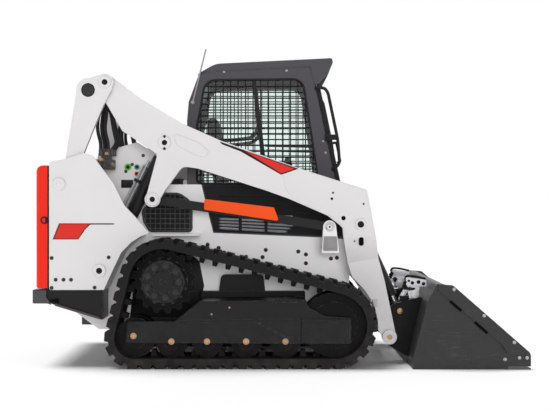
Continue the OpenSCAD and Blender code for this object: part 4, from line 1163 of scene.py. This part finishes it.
def air_cleaner():
    """Air cleaner and rubber pipes."""
    bm = bmesh.new()
    disc(bm, at(-1090, 218, 1104), FORE, 0.084, 0.4, 40, rim=0.01)
    disc(bm, at(-1296, 218, 1104), FORE, 0.089, 0.034, 40, rim=0.008)
    for x in (-1220, -980):
        ring(bm, at(x, 218, 1104), FORE, 0.09, 0.083, 0.022, 40)
        block(bm, (x - 12, 180, 1006), (x + 12, 256, 1030), 3)
    for path, bend, radius in (
        ([(-892, 218, 1104), (-820, 218, 1104), (-800, 90, 1090), (-840, 40, 1008)], 70, 0.032),
        ([(-1400, -210, 996), (-1400, -210, 1062), (-1340, -180, 1062), (-1300, -190, 1008)], 40, 0.021),
        ([(-1400, 210, 450), (-1440, 280, 450), (-1380, 310, 470), (-1340, 280, 500)], 40, 0.021),
    ):
        add_bar(bm, bent(path, bend), radius, 5)
    keep("air_cleaner", bm, "chassis", "hose_rubber")


class LOADER_OT_engine_fittings(bpy.types.Operator):
    """Dress the engine with a cooling fan, covers, air cleaner and silencer"""
    bl_idname = "loader.engine_fittings"
    bl_label = "Engine fittings"

    def execute(self, context):
        radiator()
        fan()
        engine_covers()
        air_cleaner()
        return {"FINISHED"}


def valve_blocks():
    """Valve blocks with their ports, plugs and the bolts of their panels."""
    bm = bmesh.new()
    block(bm, (-1232, -620, 1322), (-1130, -470, 1388), 4)
    block(bm, (-1215, -600, 1388), (-1150, -500, 1412), 3)
    for x, y in HOSE_STARTS:
        disc(bm, at(x, y, 1424), UP, 0.016, 0.024, 6, rim=0.002)
        disc(bm, at(x, y, 1444), UP, 0.0145, 0.03, 24, rim=0.002)
    for x, z in ((-1218, 1352), (-1186, 1340), (-1152, 1360)):
        disc(bm, at(x, -630, z), NEAR, 0.017, 0.024, 6, rim=0.002)
        disc(bm, at(x, -648, z), NEAR, 0.012, 0.02, 24, rim=0.002)
    for x, z in ((-1016, 1358), (-1060, 1310), (-940, 1420), (-925, 1330)):
        bolt(bm, at(x, VALVE_PANEL, z), NEAR, 0.008)
    keep_pair("valve_block", bm, "chassis", "cast_grey")
    bm = bmesh.new()
    for x, y, z in ((-1240, -600, 1372), (-1136, -622, 1352), (-1202, -624, 1382), (-1168, -610, 1424)):
        disc(bm, at(x, y, z), (-0.5, -1, 0.2), 0.014, 0.036, 6, rim=0.002)
    keep_pair("valve_plugs", bm, "chassis", "bronze_pins")


def couplers():
    """Coloured quick couplers with their bodies, on the near side alone."""
    rows = (("coupler_green", "green_cap", "trim_black", -1045, 1340, 24, 13),
            ("coupler_teal", "teal_cap", "trim_black", -983, 1340, 18, 9),
            ("coupler_red", "red_paint", "gate_red", -985, 1294, 15, 8))
    for name, finish, slot, x, z, collar, _ in rows:
        bm = bmesh.new()
        ring(bm, at(x, VALVE_PANEL - 3.5, z), NEAR, collar / 1000, collar / 1000 * 0.55, 0.009)
        keep(name, bm, "chassis", finish)
    bm = bmesh.new()
    for *_, x, z, _, core in rows:
        disc(bm, at(x, VALVE_PANEL - 4, z), NEAR, core / 1000, 0.01, 24, rim=0.002)
    block(bm, (-1092, -476, 1196), (-1010, -464, 1252), 3)
    for x in (-1072, -1032):
        disc(bm, at(x, -476, 1224), NEAR, 0.017, 0.006, 28, rim=0.001)
    keep("coupler_bodies", bm, "chassis", "link_paint")


def steel_tubes():
    """Steel tubes along the body side, and their clips."""
    tubes = bmesh.new()
    for k in range(4):
        z = 982 - k * 21
        front = 100 - k * 22
        path = [(-412, -436, z), (-404, -462, z), (front, -462, z - 24), (front + 16, -436, z - 26)]
        add_bar(tubes, bent(path, 24), 0.0092)
    add_bar(tubes, [at(-60, -470, 1006), at(92, -470, 996)], 0.009)
    keep_pair("steel_tubes", tubes, "chassis", "zinc_plate")
    clips = bmesh.new()
    for x in (-270, -92):
        block(clips, (x - 11, -476, 886), (x + 11, -434, 1000), 3)
    keep_pair("tube_clips", clips, "chassis", "moulded_trim")


def cylinder_lines():
    """Oil lines and clamps along the lift cylinders."""
    base, line = Vector(CYLINDER_PIN), Vector(CYLINDER_LINE).normalized()
    side = Vector((-line.y, line.x))
    lines, clamps = bmesh.new(), bmesh.new()
    for out, first, last, radius in ((58, 240, 800, 0.009), (80, 300, 760, 0.007)):
        corners = [base + line * reach + side * away
                   for reach, away in ((first, 43), (first, out), (last, out), (last, 43))]
        add_bar(lines, bent([(p.x, CYLINDER_Y, p.y) for p in corners], 24), radius)
    for reach in (380, 640):
        spot = base + line * reach
        ring(clamps, at(spot.x, CYLINDER_Y, spot.y), (line.x, 0, line.y), 0.052, 0.0445, 0.024, 36)
        grip = spot + side * 68
        turn = Matrix.Rotation(-math.atan2(side.y, side.x), 4, "Y")
        block(clamps, (grip.x - 24, CYLINDER_Y - 14, grip.y - 11), (grip.x + 24, CYLINDER_Y + 14, grip.y + 11), 2,
              turn)
    keep_pair("lift_cylinder_lines", lines, "lift_barrel", "zinc_plate")
    keep_pair("lift_cylinder_clamps", clamps, "lift_barrel", "link_paint")


def bracket_covers():
    """Covers on the control links' brackets and couplers for a tool on the arms."""
    boxes = bmesh.new()
    outer = rounded([(296, 768, 8), (394, 768, 8), (388, 866, 8), (300, 866, 8)], 4)
    inner = rounded([(312, 784, 6), (378, 784, 6), (374, 850, 6), (316, 850, 6)], 4)
    plate(boxes, outer, LINK_FACE, LINK_FACE - 5, 0.001)
    plate(boxes, inner, LINK_FACE - 4, LINK_FACE - 8, 0.001)
    keep_pair("link_bracket_covers", boxes, "chassis", "grey_paint")
    bm = bmesh.new()
    block(bm, (628, -644, 386), (664, -606, 440), 3)
    for z in (400, 426):
        disc(bm, at(624, -626, z), (-1, 0, 0.1), 0.0125, 0.024, 6, rim=0.0015)
    keep_pair("tool_couplers", bm, "lift_arm", "zinc_plate")


class LOADER_OT_hydraulics(bpy.types.Operator):
    """Build the valve block, couplers and steel tubes on the body side"""
    bl_idname = "loader.hydraulics"
    bl_label = "Valve block and tubes"

    def execute(self, context):
        valve_blocks()
        couplers()
        steel_tubes()
        cylinder_lines()
        bracket_covers()
        return {"FINISHED"}


class LOADER_OT_hoses(bpy.types.Operator):
    """Lead the hydraulic hoses from the valve block up to their clamps"""
    bl_idname = "loader.hoses"
    bl_label = "Hoses"

    def execute(self, context):
        radius = context.scene.loader_sizes.hose
        for side in (-1, 1):
            for k, (x, y) in enumerate(HOSE_STARTS):
                spread = (k - 2) * 3
                if k < 3:
                    bends = [(x, 1500), (x - 24, 1590), (x - 12 + spread, 1680), (-1196 + k * 12, 1760),
                             (-1196 + k * 8, 1830)]
                else:
                    bends = [(x + 34, 1500), (x + 10, 1600), (-1150 + spread, 1700), (-1172 + spread, 1770),
                             (-1180 + spread, 1835)]
                line = bent([(px, -side * y, pz) for px, pz in [(x, HOSE_FOOT), *bends]], 70, 8)
                piece = line_curve(f"hose_{'right' if side < 0 else 'left'}_{k + 1}", line, radius, 4)
                bpy.context.scene.collection.objects.link(piece)
                piece.data.materials.append(material("hose_rubber"))
                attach(piece, "chassis")
        bm = bmesh.new()
        block(bm, (-1222, -625, 1800), (-1150, -545, 1846), 5)
        block(bm, (-1240, -600, 1824), (-1200, -570, 1862), 4)
        keep_pair("hose_clamps", bm, "chassis", "link_paint")
        return {"FINISHED"}


# Cloth simulation of the pads: size of an even face, pressure, frames, and the most a point may move
PAD_VOXEL = 0.006
PAD_PRESSURE = 4
PAD_FRAMES = 20
PAD_CAP = 0.010


def evaluated_mesh(piece):
    """Mesh of an object with its modifiers applied."""
    return bpy.data.meshes.new_from_object(piece.evaluated_get(bpy.context.evaluated_depsgraph_get()))


def stuffed(bm):
    """Fills a closed shell by a short cloth simulation with pressure inside."""
    scene = bpy.context.scene
    shell = bpy.data.meshes.new("pad_shell")
    bm.to_mesh(shell)
    helper = bpy.data.objects.new("pad_helper", shell)
    scene.collection.objects.link(helper)
    even = helper.modifiers.new("Even", "REMESH")
    even.mode = "VOXEL"
    even.voxel_size = PAD_VOXEL
    helper.data = evaluated_mesh(helper)
    helper.modifiers.clear()
    rest = [v.co.copy() for v in helper.data.vertices]
    cloth = helper.modifiers.new("Stuffing", "CLOTH")
    cloth.settings.use_pressure = True
    cloth.settings.uniform_pressure_force = PAD_PRESSURE
    cloth.settings.effector_weights.gravity = 0
    cloth.point_cache.frame_start, cloth.point_cache.frame_end = 1, PAD_FRAMES
    for step in range(1, PAD_FRAMES + 1):
        scene.frame_set(step)
    blown = evaluated_mesh(helper)
    bm.clear()
    bm.from_mesh(blown)
    for v, start in zip(bm.verts, rest):
        move = v.co - start
        v.co = start + move * min(1, PAD_CAP / max(move.length, 1e-6))
    even_mesh = helper.data
    bpy.data.objects.remove(helper)
    for mesh in (shell, even_mesh, blown):
        bpy.data.meshes.remove(mesh)
    scene.frame_set(1)


def stitch(away):
    """Depth of a sewn channel, from 0 to 1, by the distance from it."""
    return math.exp(-(away / 0.035) ** 2)


def pad(name, half, centre, lean, channels):
    """Stuffed seat pad: crowned, drawn in along its sides, with sewn channels across it."""
    bm = bmesh.new()
    bmesh.ops.create_cube(bm, size=2)
    bmesh.ops.subdivide_edges(bm, edges=bm.edges[:], cuts=19, use_grid_fill=True)
    for v in bm.verts:
        u, w, t = v.co
        crown = (1 - abs(u) ** 4) * (1 - abs(w) ** 4)
        side = 1 - abs(t) ** 3 * 0.06
        draw = 1 - 0.035 * (1 - w * w) - 0.02 * abs(t) ** 4
        draw_w = 1 - 0.03 * (1 - u * u) - 0.02 * abs(t) ** 4
        rise = (0.62 + 0.38 * crown) * t
        v.co = Vector((u * half[0] * draw * side, w * half[1] * draw_w * side, rise * half[2]))
    stuffed(bm)
    for v in bm.verts:
        u, w = v.co.x / half[0], v.co.y / half[1]
        if v.co.z > 0:
            seam = sum(0.16 * stitch(u - place) for place in channels) * max(0, 1 - abs(w) ** 8)
            seam += 0.12 * stitch(abs(w) - 0.62) * max(0, 1 - abs(u) ** 8)
            v.co.z -= seam * half[2]
    bmesh.ops.transform(bm, matrix=Matrix.Translation(centre) @ Matrix.Rotation(lean, 4, "Y"), verts=bm.verts[:])
    piece = keep(name, bm, "chassis", "seat_cover", angle=80)
    soft = piece.modifiers.new("Soft", "SUBSURF")
    soft.levels = soft.render_levels = 1
    return piece


class LOADER_OT_seat(bpy.types.Operator):
    """Upholster the seat with crowned pads and sewn channels"""
    bl_idname = "loader.seat"
    bl_label = "Seat"

    def execute(self, context):
        base = pad("seat_pad", (0.242, 0.245, 0.046), at(-201, 0, 1019), math.radians(-1.2), (-0.35, 0.1))
        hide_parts("seat_cushion")
        back = pad("seat_back_pad", (0.322, 0.225, 0.045), at(-438, 0, 1388), math.radians(-97), (-0.45, -0.1, 0.25))
        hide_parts("seat_back")
        bm = bmesh.new()
        for side in (-1, 1):
            add_bar(bm, bent([(-440, side * 232, 990), (-425, side * 232, 1110), (-470, side * 228, 1400)], 60), 0.009)
            disc(bm, at(-428, side * 240, 1050), (0, side, 0), 0.03, 0.016, 28, rim=0.003)
        keep("seat_recliners", bm, "chassis", "link_paint")
        return {"FINISHED"}


class LOADER_OT_lap_bar(bpy.types.Operator):
    """Hang the lap bar in the cab"""
    bl_idname = "loader.lap_bar"
    bl_label = "Lap bar"

    def execute(self, context):
        bm = bmesh.new()
        path = [(x, -345, z) for x, z in ((-172, 1960), (-160, 1780), (-146, 1610), (-190, 1548), (-330, 1530),
                                          (-470, 1530))]
        add_bar(bm, bent(path, 70, 8), 0.013, 4)
        disc(bm, at(-470, -345, 1530), NEAR, 0.034, 0.03, 32, rim=0.004)
        block(bm, (-200, -365, 1942), (-145, -325, 1966), 4)
        mirrored(bm)
        cross = [(-462, -345, 1530), (-520, -345, 1530), (-520, 345, 1530), (-462, 345, 1530)]
        add_bar(bm, bent(cross, 60, 8), 0.0128, 4)
        keep("lap_bar", bm, "chassis", "moulded_trim")
        return {"FINISHED"}


class LOADER_OT_controls(bpy.types.Operator):
    """Fit bellows boots and grips on the control levers"""
    bl_idname = "loader.controls"
    bl_label = "Controls"

    def execute(self, context):
        bm = bmesh.new()
        for k in range(5):
            ring(bm, at(60, -300, 1216 + k * 13), UP, 0.044 - k * 0.005, 0.0142, 0.011, 32)
        disc(bm, at(60, -300, 1398), UP, 0.026, 0.03, 28, top=0.018, rim=0.004)
        block(bm, (84, -308, 1350), (92, -292, 1376), 2)
        keep_pair("lever_boots", bm, "chassis", "hose_rubber")
        return {"FINISHED"}


FLOOR_HALF = 45
SHADE_LIGHT = 0.25
LIGHTS = (  # name, strength, spread in degrees, direction
    ("top_light", 2.45, 26, (0.36, -0.1, -1.0)),
    ("rear_light", 0.8, 40, (0.12, -1.0, -0.22)),
    ("front_light", 1.9, 26, (-0.12, 1.0, -0.08)),
)
CAMERA_LENS = 85.6
CAMERA_PLACE = (-0.030, -9.5, 1.078)


def studio_floor(scene):
    """Pale floor that runs into the background."""
    bm = bmesh.new()
    bmesh.ops.create_grid(bm, x_segments=8, y_segments=8, size=FLOOR_HALF)
    mesh = bpy.data.meshes.new("studio_floor")
    bm.to_mesh(mesh)
    bm.free()
    floor = bpy.data.objects.new("studio_floor", mesh)
    scene.collection.objects.link(floor)
    made, tree, shader = blank("studio_floor")
    tone = between(tree, noise(tree, 0.6, 3), 0.3, 0.7, 0.96, 0.975)
    pale = tree.nodes.new("ShaderNodeCombineColor")
    for socket in pale.inputs[:3]:
        tree.links.new(tone, socket)
    tree.links.new(pale.outputs[0], shader.inputs["Base Color"])
    shader.inputs["Roughness"].default_value = 0.9
    shader.inputs["Specular IOR Level"].default_value = 0.05
    mesh.materials.append(made)


def studio_world(scene):
    """White surroundings that light the loader less than they look."""
    world = bpy.data.worlds.new("studio_world")
    world.use_nodes = True
    scene.world = world
    tree = world.node_tree
    tree.nodes.clear()
    rays = tree.nodes.new("ShaderNodeLightPath")
    seen = sums(tree, "MAXIMUM", rays.outputs["Is Camera Ray"], rays.outputs["Is Transmission Ray"])
    seen = sums(tree, "MAXIMUM", seen, rays.outputs["Is Glossy Ray"])
    strength = sums(tree, "MULTIPLY_ADD", seen, 1 - SHADE_LIGHT, SHADE_LIGHT)
    back = tree.nodes.new("ShaderNodeBackground")
    back.inputs["Color"].default_value = (1, 1, 1, 1)
    tree.links.new(strength, back.inputs["Strength"])
    tree.links.new(back.outputs[0], tree.nodes.new("ShaderNodeOutputWorld").inputs["Surface"])


def studio_lights(scene):
    """Soft suns that leave no spots on glossy paint."""
    for name, power, spread, direction in LIGHTS:
        data = bpy.data.lights.new(name, "SUN")
        data.energy = power
        data.angle = math.radians(spread)
        lamp = bpy.data.objects.new(name, data)
        lamp.rotation_euler = Vector(direction).to_track_quat("-Z", "Y").to_euler()
        lamp.location = -Vector(direction) * 5
        lamp.visible_glossy = lamp.visible_transmission = False
        scene.collection.objects.link(lamp)


def studio_camera(scene):
    """Camera square to the near side, as in the photograph."""
    data = bpy.data.cameras.new("camera")
    data.lens = CAMERA_LENS
    data.sensor_width = 36
    data.clip_end = 200
    camera = bpy.data.objects.new("camera", data)
    camera.location = CAMERA_PLACE
    camera.rotation_euler = (math.radians(90), 0, 0)
    scene.collection.objects.link(camera)
    scene.camera = camera
    scene.view_settings.view_transform = "Standard"


class LOADER_OT_stage(bpy.types.Operator):
    """Set up the floor, the light and the camera"""
    bl_idname = "loader.stage"
    bl_label = "Studio"

    def execute(self, context):
        for build in (studio_floor, studio_world, studio_lights, studio_camera):
            build(context.scene)
        return {"FINISHED"}


STEPS = (
    LOADER_OT_stage, LOADER_OT_finishes, LOADER_OT_hoses, LOADER_OT_stripes, LOADER_OT_arm_plates, LOADER_OT_pin_ends,
    LOADER_OT_panel_bolts, LOADER_OT_hub_bolts, LOADER_OT_track_frame_plates, LOADER_OT_bucket_fittings,
    LOADER_OT_lock_levers, LOADER_OT_grab_handles, LOADER_OT_window_screens, LOADER_OT_vent_mesh, LOADER_OT_cab_trim,
    LOADER_OT_door_trim, LOADER_OT_lamps, LOADER_OT_tailgate_trim, LOADER_OT_bumper_plates, LOADER_OT_engine_fittings,
    LOADER_OT_hydraulics, LOADER_OT_seat, LOADER_OT_lap_bar, LOADER_OT_controls,
)


class LOADER_PT_parts(bpy.types.Panel):
    """Steps that dress the loader"""
    bl_label = "Track Loader"
    bl_idname = "LOADER_PT_parts"
    bl_space_type = "VIEW_3D"
    bl_region_type = "UI"
    bl_category = "Loader"

    def draw(self, context):
        for step in STEPS:
            self.layout.operator(step.bl_idname)
        for group in (context.scene.loader_colours, context.scene.loader_sizes):
            for name in group.bl_rna.properties.keys():
                if name not in ("rna_type", "name"):
                    self.layout.prop(group, name)


CLASSES = (LoaderColours, LoaderSizes, *STEPS, LOADER_PT_parts)


def register():
    for cls in CLASSES:
        bpy.utils.register_class(cls)
    bpy.types.Scene.loader_colours = PointerProperty(type=LoaderColours)
    bpy.types.Scene.loader_sizes = PointerProperty(type=LoaderSizes)


def unregister():
    del bpy.types.Scene.loader_sizes
    del bpy.types.Scene.loader_colours
    for cls in reversed(CLASSES):
        bpy.utils.unregister_class(cls)


def main():
    """Dresses the loader step by step."""
    register()
    for step in STEPS:
        group, name = step.bl_idname.split(".")
        getattr(getattr(bpy.ops, group), name)()


if __name__ == "__main__":
    main()
